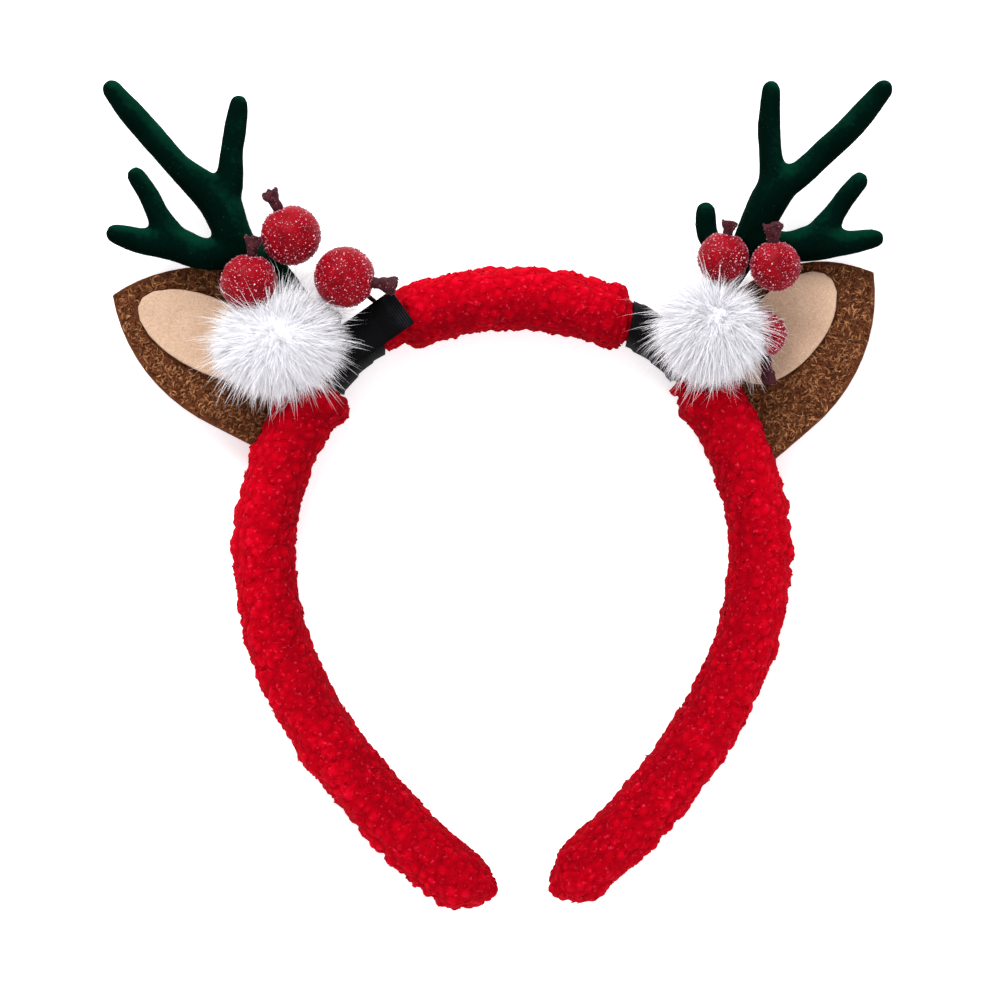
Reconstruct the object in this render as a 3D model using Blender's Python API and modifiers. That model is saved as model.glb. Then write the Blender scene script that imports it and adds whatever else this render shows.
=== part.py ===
"""Reindeer antler headband, lying flat on its back.

A padded hoop of red boucle is squeezed by two black ribbon wraps. Beside each
wrap sit a plush ear with a felt lining, a flocked antler, three frosted
berries and a fur pompom, and on the left the cut end of the ribbon lies over
the front. The front faces +Z, the crown points to +Y, and left and right are
those of somebody who looks at the front. The origin is on the flattened back
of the crown, so the hoop rests on the plane Z = 0.
"""

import math
import random

import bmesh
import bpy
from mathutils import Matrix, Vector

MM = 0.001
GAP = 0.3 * MM
SIDES = {"left": -1.0, "right": 1.0}

# Padded hoop: an oval section, flattened where it rests
BAND_HALF_WIDTH = 8.45 * MM
BAND_HALF_DEPTH = 11.3 * MM
BAND_HEIGHT = 11.0 * MM
BAND_SIDES = 16
BAND_STEP = 8.5 * MM
TIP_ROUNDING = 7.5 * MM
TIP_CAP_SCALE = 0.42
# Sections of the rounded tip, as shares of its rounding back from the end
TIP_SECTIONS = (0.55, 0.25, 0.08, 0.0)
SHOULDER_SECTIONS = (0.0, 0.5, 1.0)
SECTION_SPACING = 2 * MM
# Half of the centreline, from the crown to a tip: x and y in millimetres
BAND_HALF_ROUTE = (
    (0.0, 0.0), (11.8, -1.2), (23.4, -3.9), (33.5, -8.1), (43.0, -14.8),
    (51.3, -25.5), (57.4, -35.9), (61.4, -46.0), (64.0, -56.7), (64.7, -68.1),
    (63.4, -79.1), (60.8, -90.2), (56.4, -100.6), (51.0, -110.9), (43.9, -120.8),
    (35.6, -130.3), (26.4, -140.1), (17.5, -147.6), (10.2, -153.2),
)
# How far each end runs past the last point of the route
TIP_RUN = {"left": 4.5 * MM, "right": 0.5 * MM}

# Ribbon wraps: sleeves round the two necks of the hoop
NECK_SCALE = 0.58
NECK_SHOULDER = 2.5 * MM
WRAP_START = 30.2 * MM
WRAP_END = 55.3 * MM
WRAP_WALL = 1.1 * MM
WRAP_SLACK = 0.6 * MM
WRAP_SECTIONS = 6
WRAP_HALF_WIDTH = NECK_SCALE * BAND_HALF_WIDTH + WRAP_SLACK + WRAP_WALL

# Cut end of the ribbon on the left wrap
STRIP_START = (-28.2 * MM, -2.7 * MM)
STRIP_HEADING = (-0.821, -0.571)
STRIP_WIDTH = 10.4 * MM
STRIP_LENGTH = 20.5 * MM
STRIP_THICKNESS = 1.0 * MM
STRIP_CROWNING = 0.02 / MM
# The middle of the strip lies this far beside the top of the wrap
STRIP_LEAN = 3.4 * MM
STRIP_GRID = (10, 4)
# Run along the strip and height of its middle, in millimetres
STRIP_PROFILE = ((0.0, 23.6), (3.5, 23.2), (8.0, 21.2), (12.0, 20.5), (20.5, 20.4))

# Ears: a pointed plush arch under an oval felt lining
EAR_TIP = 46.8 * MM
EAR_THICKNESS = 2.6 * MM
EAR_HEIGHT = 8.7 * MM
EAR_CUP = 0.003 / MM
EAR_BLEND = 6 * MM
EAR_GRID = (20, 4)
LINING_GRID = (9, 5)
LINING_HALF_WIDTH = 9.6 * MM
LINING_THICKNESS = 1.5 * MM
LINING_HEIGHT = EAR_HEIGHT + (EAR_THICKNESS + LINING_THICKNESS) / 2 + GAP
# Base point and heading; the runs of the hoop between which the base lies; shoulder and half
# width of the lower and the upper side, each of which is straight up to its shoulder and then
# an arc to the tip; then the lining: its middle along and across, half its length, and how
# far in degrees it turns up from the ear's own line
EARS = {
    "left": {
        "base": (-61.7, -19.2), "heading": (-0.904, 0.427), "base_runs": (78.0, 50.0),
        "lower": (9.5, 19.5), "upper": (13.5, 19.4), "lining": (18.7, 1.3, 20.8, 0.0),
    },
    "right": {
        "base": (58.2, -23.2), "heading": (0.768, 0.640), "base_runs": (81.0, 50.0),
        "lower": (9.2, 20.8), "upper": (13.5, 19.4), "lining": (19.8, 3.6, 17.5, 10.0),
    },
}

# Antlers: x, y, height and radius of each named point, in millimetres
ANTLER_RESOLUTION = 2
ANTLER_STEPS = 3
# The rounding of a branch's tip, as shares of its radius past the last point
BRANCH_TIP_SHARES = (0.55, 0.88)
# Turn of each branch about its own line, so that no two rings share an edge
BRANCH_TURN = math.radians(13)
ROOT_TIP_RADIUS = 2.1 * MM
ROOT_TIP_RUN = 42.5 * MM
ROOT_TIP_LIFT = 0.8 * MM
ROOT_TIP_SEAT = 1.35 * MM
ANTLERS = {
    "left": {
        "root_low": (-53.0, -2.6, 14.0, 2.6), "root": (-60.4, 5.6, 15.2, 3.3),
        "foot": (-69.7, 11.9, 16.0, 4.3), "fork": (-76.5, 24.7, 16.5, 4.8),
        "long_1": (-86.5, 34.0, 16.5, 3.3), "long_2": (-93.5, 42.0, 16.5, 3.3),
        "long_3": (-99.5, 48.7, 16.5, 3.1), "long_tip": (-103.6, 53.8, 16.5, 2.5),
        "tall_1": (-73.4, 30.9, 16.5, 3.4), "tall_2": (-72.5, 38.1, 16.5, 2.9),
        "tall_3": (-71.5, 44.6, 16.5, 2.8), "tall_tip": (-70.8, 50.2, 16.5, 2.3),
        "low_1": (-79.5, 11.7, 16.5, 3.8), "low_fork": (-87.6, 14.1, 16.5, 4.4),
        "low_2": (-94.8, 14.4, 16.5, 3.4), "low_3": (-98.4, 15.2, 16.5, 3.1),
        "low_tip": (-102.6, 16.4, 16.5, 2.5), "side_1": (-91.4, 20.8, 16.5, 2.9),
        "side_2": (-94.3, 26.7, 16.5, 2.6), "side_tip": (-97.4, 31.4, 16.5, 2.3),
        "spur_1": (-63.3, 12.6, 14.6, 2.6), "spur_2": (-59.4, 16.4, 13.6, 2.5),
        "spur_tip": (-57.2, 20.0, 13.0, 2.2),
    },
    "right": {
        "root_low": (51.8, -1.6, 12.9, 2.4), "root": (57.8, 7.0, 14.9, 3.2),
        "foot": (61.7, 15.2, 16.5, 4.2), "fork": (68.5, 28.3, 16.5, 4.9),
        "long_1": (74.4, 31.6, 16.5, 3.4), "long_2": (81.5, 38.2, 16.5, 3.2),
        "long_3": (88.5, 44.7, 16.5, 3.2), "long_tip": (96.2, 53.9, 16.5, 2.5),
        "tall_1": (67.1, 35.5, 16.5, 3.0), "tall_2": (66.5, 43.3, 16.5, 2.9),
        "tall_3": (66.8, 49.0, 16.5, 2.6), "tall_tip": (67.1, 53.9, 16.5, 2.3),
        "low_1": (70.7, 13.3, 16.5, 3.7), "low_fork": (78.9, 14.7, 16.5, 4.4),
        "low_2": (86.5, 14.2, 16.5, 3.1), "low_3": (90.4, 14.7, 16.5, 2.7),
        "low_tip": (94.0, 15.2, 16.5, 2.3), "side_1": (83.4, 21.5, 16.5, 2.8),
        "side_2": (86.6, 26.1, 16.5, 2.5), "side_tip": (90.0, 30.1, 16.5, 2.3),
        "spur_1": (54.4, 11.6, 14.6, 2.6), "spur_2": (50.7, 16.0, 14.2, 2.7),
        "spur_tip": (50.3, 22.2, 13.8, 2.6),
    },
}
# Branches, each a row of points from inside the beam to its tip
ANTLER_BRANCHES = (
    ("root_tip", "root_low", "root", "foot", "fork", "long_1", "long_2", "long_3", "long_tip"),
    ("fork", "tall_1", "tall_2", "tall_3", "tall_tip"),
    ("foot", "low_1", "low_fork", "low_2", "low_3", "low_tip"),
    ("low_fork", "side_1", "side_2", "side_tip"),
    ("root", "spur_1", "spur_2", "spur_tip"),
)

# Berries: centre and radius in millimetres, the way the dry crown points, and the crown's
# length and the radius of its points
BERRY_SEGMENTS = 12
BERRY_RINGS = 8
BERRIES = {
    "left_top": (-57.0, 15.7, 23.8, 7.9, (-0.41, 0.91, 0.1), 4.6, 1.8),
    "left_outer": (-67.7, 3.5, 25.8, 7.5, (-0.05, 1.0, 0.1), 4.6, 2.0),
    "left_inner": (-43.1, 4.8, 26.0, 8.05, (0.99, -0.12, 0.12), 5.2, 2.3),
    "right_inner": (54.3, 9.8, 25.2, 6.75, (0.18, 0.98, 0.1), 3.2, 2.1),
    "right_outer": (67.6, 7.6, 27.8, 6.65, (-0.07, 1.0, 0.1), 4.8, 2.4),
    "right_low": (64.9, -9.6, 18.6, 6.2, (0.25, -0.97, 0.1), 4.6, 2.0),
}
# A dry crown's neck and notches, as shares of its points' radius and of its length
CROWN_NECK_SHARE = 0.62
CROWN_NOTCH_SHARE = 0.7
CROWN_NOTCH_DEPTH_SHARE = 0.28
CROWN_POINTS = 5
STEM_RADIUS = 0.6 * MM
STEM_RUN = 33.5 * MM
STEM_LIFT = 1.4 * MM

# Pompoms: a head, and locks that reach out to a rounder outline
POMPOMS = {
    "left": {"head": (-59.6, -12.5, 23.0, 10.0), "middle": (-59.6, -12.5, 22.0), "reach": 18.4},
    "right": {"head": (50.5, -10.0, 24.4, 8.0), "middle": (52.2, -9.8, 23.0), "reach": 16.3},
}
LOCK_TIP_SCALE = 0.45
LOCK_SHORTEST = 1.5 * MM
LOCK_STEP = 0.4 * MM
LOCK_CLEARANCE = 1.3 * MM
LOCK_VARIATION = 0.14
LOCK_SEED = 11
# The stretch of the hoop and the step along it that the locks are tested against
LOCK_RUNS = (24.0 * MM, 90.0 * MM)
LOCK_RUN_STEP = 2 * MM
LOCK_STRIP_GRID = (18, 9)
LOCK_CROWN_SHARES = (0.3, 0.8)

# Colour, roughness
FINISHES = {
    "red_boucle": ((0.58, 0.002, 0.012), 0.95),
    "black_ribbon": ((0.006, 0.006, 0.008), 0.62),
    "brown_plush": ((0.12, 0.045, 0.014), 0.95),
    "beige_felt": ((0.70, 0.48, 0.30), 0.92),
    "green_flock": ((0.002, 0.045, 0.026), 0.9),
    "berry_red": ((0.36, 0.006, 0.012), 0.45),
    "crown_brown": ((0.05, 0.012, 0.012), 0.8),
    "white_fur": ((0.86, 0.86, 0.88), 0.85),
}


def clear_scene():
    """Remove whatever the open file holds."""
    for thing in list(bpy.data.objects):
        bpy.data.objects.remove(thing, do_unlink=True)


def new_collection(name):
    """Return a collection linked to the scene."""
    collection = bpy.data.collections.new(name)
    bpy.context.scene.collection.children.link(collection)
    return collection


def make_finishes():
    """Return one Principled material for each finish."""
    materials = {}
    for name, (colour, roughness) in FINISHES.items():
        material = bpy.data.materials.new(name)
        material.use_nodes = True
        shader = material.node_tree.nodes["Principled BSDF"]
        shader.inputs["Base Color"].default_value = (*colour, 1.0)
        shader.inputs["Roughness"].default_value = roughness
        shader.inputs["Metallic"].default_value = 0.0
        materials[name] = material
    return materials


def catmull_rom(points, steps):
    """Return points on a smooth line that passes through the given ones."""
    padded = [2 * points[0] - points[1], *points, 2 * points[-1] - points[-2]]
    line = []
    for before, start, end, after in zip(padded, padded[1:], padded[2:], padded[3:]):
        for step in range(steps):
            t = step / steps
            line.append(0.5 * (
                2 * start
                + t * (end - before)
                + t * t * (2 * before - 5 * start + 4 * end - after)
                + t * t * t * (3 * start - before - 3 * end + after)
            ))
    line.append(points[-1].copy())
    return line


class Route:
    """A smooth line that is read by the run from its start."""

    def __init__(self, points, steps=10):
        self.line = catmull_rom(points, steps)
        self.runs = [0.0]
        for start, end in zip(self.line, self.line[1:]):
            self.runs.append(self.runs[-1] + (end - start).length)
        self.length = self.runs[-1]

    def heading(self, run):
        """Return the direction of travel at a run."""
        index = self.span(run)
        return (self.line[index + 1] - self.line[index]).normalized()

    def place(self, run):
        """Return the point at a run, past the end along the last direction."""
        index = self.span(run)
        return self.line[index] + self.heading(run) * (run - self.runs[index])

    def span(self, run):
        """Return the number of the straight piece that holds a run."""
        index = 0
        while index < len(self.line) - 2 and self.runs[index + 1] <= run:
            index += 1
        return index


HALF_HOOP = Route([Vector((x, y, 0.0)) * MM for x, y in BAND_HALF_ROUTE])


def hoop_place(side, run):
    """Return the centre of the hoop at a run from the crown."""
    place = HALF_HOOP.place(run)
    return Vector((SIDES[side] * place.x, place.y, BAND_HEIGHT))


def hoop_outward(side, run):
    """Return the direction in the plane of the hoop that points away from the head."""
    heading = HALF_HOOP.heading(run)
    return Vector((SIDES[side] * -heading.y, heading.x, 0.0))


def smooth_step(value):
    """Return 0 below 0, 1 above 1, and an even blend between."""
    t = min(1.0, max(0.0, value))
    return t * t * (3 - 2 * t)


def neck_share(run):
    """Return 1 inside a neck, 0 where the hoop is full, and a blend at the shoulders."""
    rise = smooth_step((run - WRAP_START + NECK_SHOULDER + GAP * 3) / NECK_SHOULDER)
    fall = smooth_step((run - WRAP_END - GAP * 3) / NECK_SHOULDER)
    return rise - fall


def hoop_scale(side, run):
    """Return the size of the section at a run, 1 where the hoop is full."""
    scale = 1.0 - (1.0 - NECK_SCALE) * neck_share(run)
    left = HALF_HOOP.length + TIP_RUN[side] - run
    if left < TIP_ROUNDING:
        rounding = 1.0 - left / TIP_ROUNDING
        scale *= max(TIP_CAP_SCALE, math.sqrt(max(0.0, 1.0 - rounding * rounding)))
    return scale


def hoop_runs(side):
    """Return the runs of one half's sections, closer at the shoulders and the tip."""
    end = HALF_HOOP.length + TIP_RUN[side]
    count = round((end - TIP_ROUNDING) / BAND_STEP)
    runs = [(end - TIP_ROUNDING) * index / count for index in range(1, count + 1)]
    for shoulder in (WRAP_START - NECK_SHOULDER - GAP * 3, WRAP_END + GAP * 3):
        near = [shoulder + NECK_SHOULDER * share for share in SHOULDER_SECTIONS]
        low, high = near[0] - SECTION_SPACING, near[-1] + SECTION_SPACING
        runs = [run for run in runs if run < low or run > high]
        runs += near
    runs += [end - TIP_ROUNDING * share for share in TIP_SECTIONS]
    return sorted(runs)


def section_guide(guides):
    """Return the oval section of the hoop as a guide curve."""
    curve = bpy.data.curves.new("section_guide", "CURVE")
    curve.dimensions = "2D"
    curve.fill_mode = "NONE"
    spline = curve.splines.new("POLY")
    spline.points.add(BAND_SIDES - 1)
    spline.use_cyclic_u = True
    for index, point in enumerate(spline.points):
        angle = 2 * math.pi * (index + 0.5) / BAND_SIDES
        across = BAND_HALF_WIDTH * math.cos(angle)
        up = max(-BAND_HEIGHT, BAND_HALF_DEPTH * math.sin(angle))
        point.co = (across, up, 0.0, 1.0)
    guide = bpy.data.objects.new("section_guide", curve)
    guide.hide_render = True
    guide.display_type = "WIRE"
    guides.objects.link(guide)
    return guide


def meshed(curve_object):
    """Return the welded mesh of a curve object, which is removed."""
    bpy.context.view_layer.update()
    depsgraph = bpy.context.evaluated_depsgraph_get()
    mesh = bpy.data.meshes.new_from_object(curve_object.evaluated_get(depsgraph))
    work = bmesh.new()
    work.from_mesh(mesh)
    bmesh.ops.remove_doubles(work, verts=work.verts, dist=0.00001)
    bmesh.ops.recalc_face_normals(work, faces=work.faces)
    work.to_mesh(mesh)
    work.free()
    bpy.data.objects.remove(curve_object, do_unlink=True)
    return mesh


def swept_mesh(stations, guide, caps):
    """Return the mesh of the hoop's section swept along stations of place and scale."""
    curve = bpy.data.curves.new("sweep", "CURVE")
    curve.dimensions = "3D"
    curve.twist_mode = "Z_UP"
    curve.bevel_mode = "OBJECT"
    curve.bevel_object = guide
    curve.use_fill_caps = caps
    spline = curve.splines.new("POLY")
    spline.points.add(len(stations) - 1)
    for point, (place, scale) in zip(spline.points, stations):
        point.co = (*place, 1.0)
        point.radius = scale
    sweep = bpy.data.objects.new("sweep", curve)
    bpy.context.scene.collection.objects.link(sweep)
    return meshed(sweep)


def tube_mesh(stations, resolution, turn=0.0):
    """Return the mesh of a round tube along stations of place and radius."""
    curve = bpy.data.curves.new("tube", "CURVE")
    curve.dimensions = "3D"
    curve.bevel_depth = 1.0
    curve.bevel_resolution = resolution
    curve.use_fill_caps = True
    spline = curve.splines.new("POLY")
    spline.points.add(len(stations) - 1)
    for point, (place, radius) in zip(spline.points, stations):
        point.co = (*place, 1.0)
        point.radius = radius
        point.tilt = turn
    tube = bpy.data.objects.new("tube", curve)
    bpy.context.scene.collection.objects.link(tube)
    return meshed(tube)


def add_part(name, mesh, material, parts):
    """Link a finished mesh as a named part with its material, and return the object."""
    mesh.name = name
    mesh.materials.clear()
    mesh.materials.append(material)
    mesh.shade_smooth()
    mesh.set_sharp_from_angle(angle=math.radians(40))
    part = bpy.data.objects.new(name, mesh)
    parts.objects.link(part)
    return part


def make_band(parts, guides, finishes):
    """Model the padded hoop as one solid with two necks and rounded tips."""
    stations = [(hoop_place("left", 0.0), 1.0)]
    for side in SIDES:
        half = [(hoop_place(side, run), hoop_scale(side, run)) for run in hoop_runs(side)]
        stations = list(reversed(half)) + stations if side == "left" else stations + half
    mesh = swept_mesh(stations, section_guide(guides), caps=True)
    add_part("red_band", mesh, finishes["red_boucle"], parts)


def make_wraps(parts, guides, finishes):
    """Model the two ribbon wraps as hollow sleeves round the necks."""
    guide = guides.objects["section_guide"]
    inner_scale = NECK_SCALE + WRAP_SLACK / BAND_HALF_WIDTH
    step = (WRAP_END - WRAP_START) / WRAP_SECTIONS
    for side in SIDES:
        runs = [WRAP_START + step * index for index in range(WRAP_SECTIONS + 1)]
        stations = [(hoop_place(side, run), inner_scale) for run in runs]
        mesh = swept_mesh(stations, guide, caps=False)
        wrap = add_part(f"ribbon_wrap_{side}", mesh, finishes["black_ribbon"], parts)
        wall = wrap.modifiers.new("wall", "SOLIDIFY")
        wall.thickness = WRAP_WALL
        wall.offset = 1.0
        wall.use_even_offset = True


def grid_sheet(columns, rows, shape):
    """Return an open mesh of shape(t, s) over a grid, with t and s from 0 to 1."""
    sheet = bmesh.new()
    bmesh.ops.create_grid(sheet, x_segments=columns, y_segments=rows, size=1.0)
    for vertex in sheet.verts:
        vertex.co = shape((vertex.co.x + 1) / 2, (vertex.co.y + 1) / 2)
    bmesh.ops.recalc_face_normals(sheet, faces=sheet.faces)
    mesh = bpy.data.meshes.new("sheet")
    sheet.to_mesh(mesh)
    sheet.free()
    return mesh


def add_sheet(name, mesh, thickness, material, parts):
    """Link an open sheet and give it a wall, half on each side."""
    part = add_part(name, mesh, material, parts)
    wall = part.modifiers.new("wall", "SOLIDIFY")
    wall.thickness = thickness
    wall.offset = 0.0
    wall.use_even_offset = True


def ear_axes(side):
    """Return the base point and the directions along and across an ear."""
    base = Vector(EARS[side]["base"]) * MM
    along = Vector(EARS[side]["heading"]).normalized()
    across = Vector((along.y, -along.x)) * -SIDES[side]
    return base, along, across


def ear_point(side, along_run, across_run, height):
    """Return a point of an ear's cupped surface."""
    base, along, across = ear_axes(side)
    flat = base + along * along_run + across * across_run
    return Vector((flat.x, flat.y, height + EAR_CUP * across_run * across_run))


def ear_base(side, share):
    """Return a point of an ear's base, which follows the hoop and the wrap."""
    lowest, highest = EARS[side]["base_runs"]
    run = (lowest + (highest - lowest) * share) * MM
    full = BAND_HALF_WIDTH + GAP
    slim = WRAP_HALF_WIDTH + GAP
    offset = full + (slim - full) * smooth_step((WRAP_END + NECK_SHOULDER - run) / EAR_BLEND)
    place = hoop_place(side, run) + hoop_outward(side, run) * offset
    base, along, across = ear_axes(side)
    flat = Vector((place.x, place.y)) - base
    return flat.dot(along), flat.dot(across)


def ear_rim(side, share):
    """Return a point of the arch: two arcs that meet in the tip."""
    lower = share < 0.5
    shoulder, half_width = (length * MM for length in EARS[side]["lower" if lower else "upper"])
    reach = EAR_TIP - shoulder
    radius = (reach * reach + half_width * half_width) / (2 * half_width)
    angle = math.asin(reach / radius) * (2 * share if lower else 2 - 2 * share)
    across = radius * math.cos(angle) - (radius - half_width)
    return shoulder + radius * math.sin(angle), -across if lower else across


def make_ears(parts, finishes):
    """Model each ear as a cupped plush sheet with a felt oval on it."""
    for side in SIDES:
        def outer(t, s):
            low = ear_base(side, t)
            high = ear_rim(side, t)
            return ear_point(side, low[0] + (high[0] - low[0]) * s,
                             low[1] + (high[1] - low[1]) * s, EAR_HEIGHT)

        def inner(t, s):
            x = 2 * t - 1
            y = 2 * s - 1
            middle_along, middle_across, half_length, turn = EARS[side]["lining"]
            run = half_length * MM * x * math.sqrt(1 - y * y / 2)
            reach = LINING_HALF_WIDTH * y * math.sqrt(1 - x * x / 2)
            cos, sin = math.cos(math.radians(turn)), math.sin(math.radians(turn))
            along = middle_along * MM + run * cos - reach * sin
            across = middle_across * MM + run * sin + reach * cos
            return ear_point(side, along, across, LINING_HEIGHT)

        add_sheet(f"ear_outer_{side}", grid_sheet(*EAR_GRID, outer),
                  EAR_THICKNESS, finishes["brown_plush"], parts)
        add_sheet(f"ear_inner_{side}", grid_sheet(*LINING_GRID, inner),
                  LINING_THICKNESS, finishes["beige_felt"], parts)


def strip_height(run):
    """Return the height of the strip's middle at a run along it."""
    for (start, low), (end, high) in zip(STRIP_PROFILE, STRIP_PROFILE[1:]):
        if run <= end * MM:
            share = (run / MM - start) / (end - start)
            return (low + (high - low) * share) * MM
    return STRIP_PROFILE[-1][1] * MM


def strip_point(t, s):
    """Return a point of the ribbon's cut end, t along it and s across it."""
    run = STRIP_LENGTH * t
    across = STRIP_WIDTH * (s - 0.5)
    heading = Vector(STRIP_HEADING).normalized()
    outward = Vector((heading.y, -heading.x))
    place = Vector(STRIP_START) + heading * run + outward * across
    lean = across + STRIP_LEAN
    return Vector((place.x, place.y, strip_height(run) - STRIP_CROWNING * lean * lean))


def make_strip(parts, finishes):
    """Model the flat cut end of the ribbon."""
    mesh = grid_sheet(*STRIP_GRID, strip_point)
    add_sheet("ribbon_strip", mesh, STRIP_THICKNESS, finishes["black_ribbon"], parts)


def antler_point(side, name):
    """Return place and radius of an antler's point as one vector of four."""
    if name == "root_tip":
        radius = ROOT_TIP_RADIUS
        outward = hoop_outward(side, ROOT_TIP_RUN)
        place = hoop_place(side, ROOT_TIP_RUN) + outward * (WRAP_HALF_WIDTH + ROOT_TIP_SEAT)
        return Vector((place.x, place.y, place.z + ROOT_TIP_LIFT, radius))
    return Vector(ANTLERS[side][name]) * MM


def branch_stations(side, names, steps=ANTLER_STEPS):
    """Return the smooth stations of a branch, with a rounded tip."""
    line = catmull_rom([antler_point(side, name) for name in names], steps)
    stations = [(row.xyz, row.w) for row in line]
    tip, radius = stations[-1]
    heading = (tip - stations[-2][0]).normalized()
    for share in BRANCH_TIP_SHARES:
        stations.append((tip + heading * radius * share, radius * math.sqrt(1 - share * share)))
    return stations


def make_antlers(parts, guides, finishes):
    """Model each antler as tapered branches that a union makes one body."""
    for side in SIDES:
        branches = []
        for index, names in enumerate(ANTLER_BRANCHES):
            stations = branch_stations(side, names)
            branches.append(tube_mesh(stations, ANTLER_RESOLUTION, BRANCH_TURN * index))
        antler = add_part(f"antler_{side}", branches[0], finishes["green_flock"], parts)
        for index, mesh in enumerate(branches[1:]):
            branch = bpy.data.objects.new(f"antler_{side}_branch_{index + 1}", mesh)
            branch.hide_render = True
            branch.display_type = "WIRE"
            guides.objects.link(branch)
            union = antler.modifiers.new(f"branch_{index + 1}", "BOOLEAN")
            union.operation = "UNION"
            union.object = branch


def berry_place(name):
    """Return the centre, the radius and the crown's direction of a berry."""
    x, y, z, radius, crown, _, _ = BERRIES[name]
    return Vector((x, y, z)) * MM, radius * MM, Vector(crown).normalized()


def crown_size(name):
    """Return the length of a berry's crown and the radius of its points."""
    return BERRIES[name][5] * MM, BERRIES[name][6] * MM


def crown_mesh(length, radius):
    """Return a dry crown: a flared cup with ragged points, standing on the origin."""
    notch_depth = CROWN_NOTCH_DEPTH_SHARE * length
    crown = bmesh.new()
    bmesh.ops.create_cone(
        crown, cap_ends=True, segments=2 * CROWN_POINTS, radius1=CROWN_NECK_SHARE * radius,
        radius2=radius, depth=length, matrix=Matrix.Translation((0.0, 0.0, length / 2)))
    rim = [vertex for vertex in crown.verts if vertex.co.z > length / 2]
    rim.sort(key=lambda vertex: math.atan2(vertex.co.y, vertex.co.x))
    for vertex in rim[::2]:
        vertex.co.x *= CROWN_NOTCH_SHARE
        vertex.co.y *= CROWN_NOTCH_SHARE
        vertex.co.z -= notch_depth
    top = next(face for face in crown.faces if len(face.verts) == len(rim)
               and all(vertex in rim for vertex in face.verts))
    middle = bmesh.ops.poke(crown, faces=[top])["verts"][0]
    middle.co.z = length - 2 * notch_depth
    bmesh.ops.triangulate(crown, faces=crown.faces)
    mesh = bpy.data.meshes.new("crown")
    crown.to_mesh(mesh)
    crown.free()
    return mesh


def make_berries(parts, finishes):
    """Model the six berries and the dry crown on each."""
    for name in BERRIES:
        centre, radius, crown_way = berry_place(name)
        turn = crown_way.to_track_quat("Z", "Y").to_matrix().to_4x4()
        berry = bmesh.new()
        bmesh.ops.create_uvsphere(berry, u_segments=BERRY_SEGMENTS, v_segments=BERRY_RINGS,
                                  radius=radius)
        mesh = bpy.data.meshes.new("berry")
        berry.to_mesh(mesh)
        berry.free()
        part = add_part(f"berry_{name}", mesh, finishes["berry_red"], parts)
        part.matrix_world = Matrix.Translation(centre) @ turn
        shape = crown_mesh(*crown_size(name))
        crown = add_part(f"berry_crown_{name}", shape, finishes["crown_brown"], parts)
        foot = centre + crown_way * (radius + GAP)
        crown.matrix_world = Matrix.Translation(foot) @ turn


def make_stem(parts, finishes):
    """Model the hidden wire from the inner left berry down to the wrap."""
    centre, radius, _ = berry_place("left_inner")
    outward = hoop_outward("left", STEM_RUN)
    foot = hoop_place("left", STEM_RUN) + outward * (WRAP_HALF_WIDTH + GAP + STEM_RADIUS)
    foot.z += STEM_LIFT
    way = (foot - centre).normalized()
    head = centre + way * (radius + GAP + STEM_RADIUS / 4)
    mesh = tube_mesh([(head, STEM_RADIUS), (foot, STEM_RADIUS)], 2)
    add_part("berry_stem", mesh, finishes["crown_brown"], parts)


def lock_neighbours(side):
    """Return centres and radii of spheres that cover what the locks stay clear of."""
    balls = []
    rise = BAND_HALF_DEPTH - BAND_HALF_WIDTH
    run = LOCK_RUNS[0]
    while run < LOCK_RUNS[1]:
        wrapped = WRAP_START <= run <= WRAP_END
        radius = WRAP_HALF_WIDTH if wrapped else BAND_HALF_WIDTH
        for height in (-rise, rise):
            balls.append((hoop_place(side, run) + Vector((0.0, 0.0, height)), radius))
        run += LOCK_RUN_STEP
    for names in ANTLER_BRANCHES:
        balls += branch_stations(side, names, steps=3 * ANTLER_STEPS)
    for name in BERRIES:
        if name.startswith(side):
            centre, radius, crown_way = berry_place(name)
            balls.append((centre, radius))
            length, point_radius = crown_size(name)
            for share in LOCK_CROWN_SHARES:
                place = centre + crown_way * (radius + GAP + length * share)
                balls.append((place, point_radius))
    if side == "left":
        columns, rows = LOCK_STRIP_GRID
        for row in range(rows):
            for column in range(columns):
                place = strip_point(column / (columns - 1), row / (rows - 1))
                balls.append((place, STRIP_THICKNESS))
    return balls


def lock_length(root, way, wanted, balls, floor):
    """Return how long a lock may grow before it meets a neighbour."""
    length = 0.0
    while length < wanted:
        tip = root + way * (length + LOCK_STEP)
        blocked = any((tip - centre).length < radius + LOCK_CLEARANCE for centre, radius in balls)
        if blocked or tip.z < floor:
            break
        length += LOCK_STEP
    return length


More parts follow.
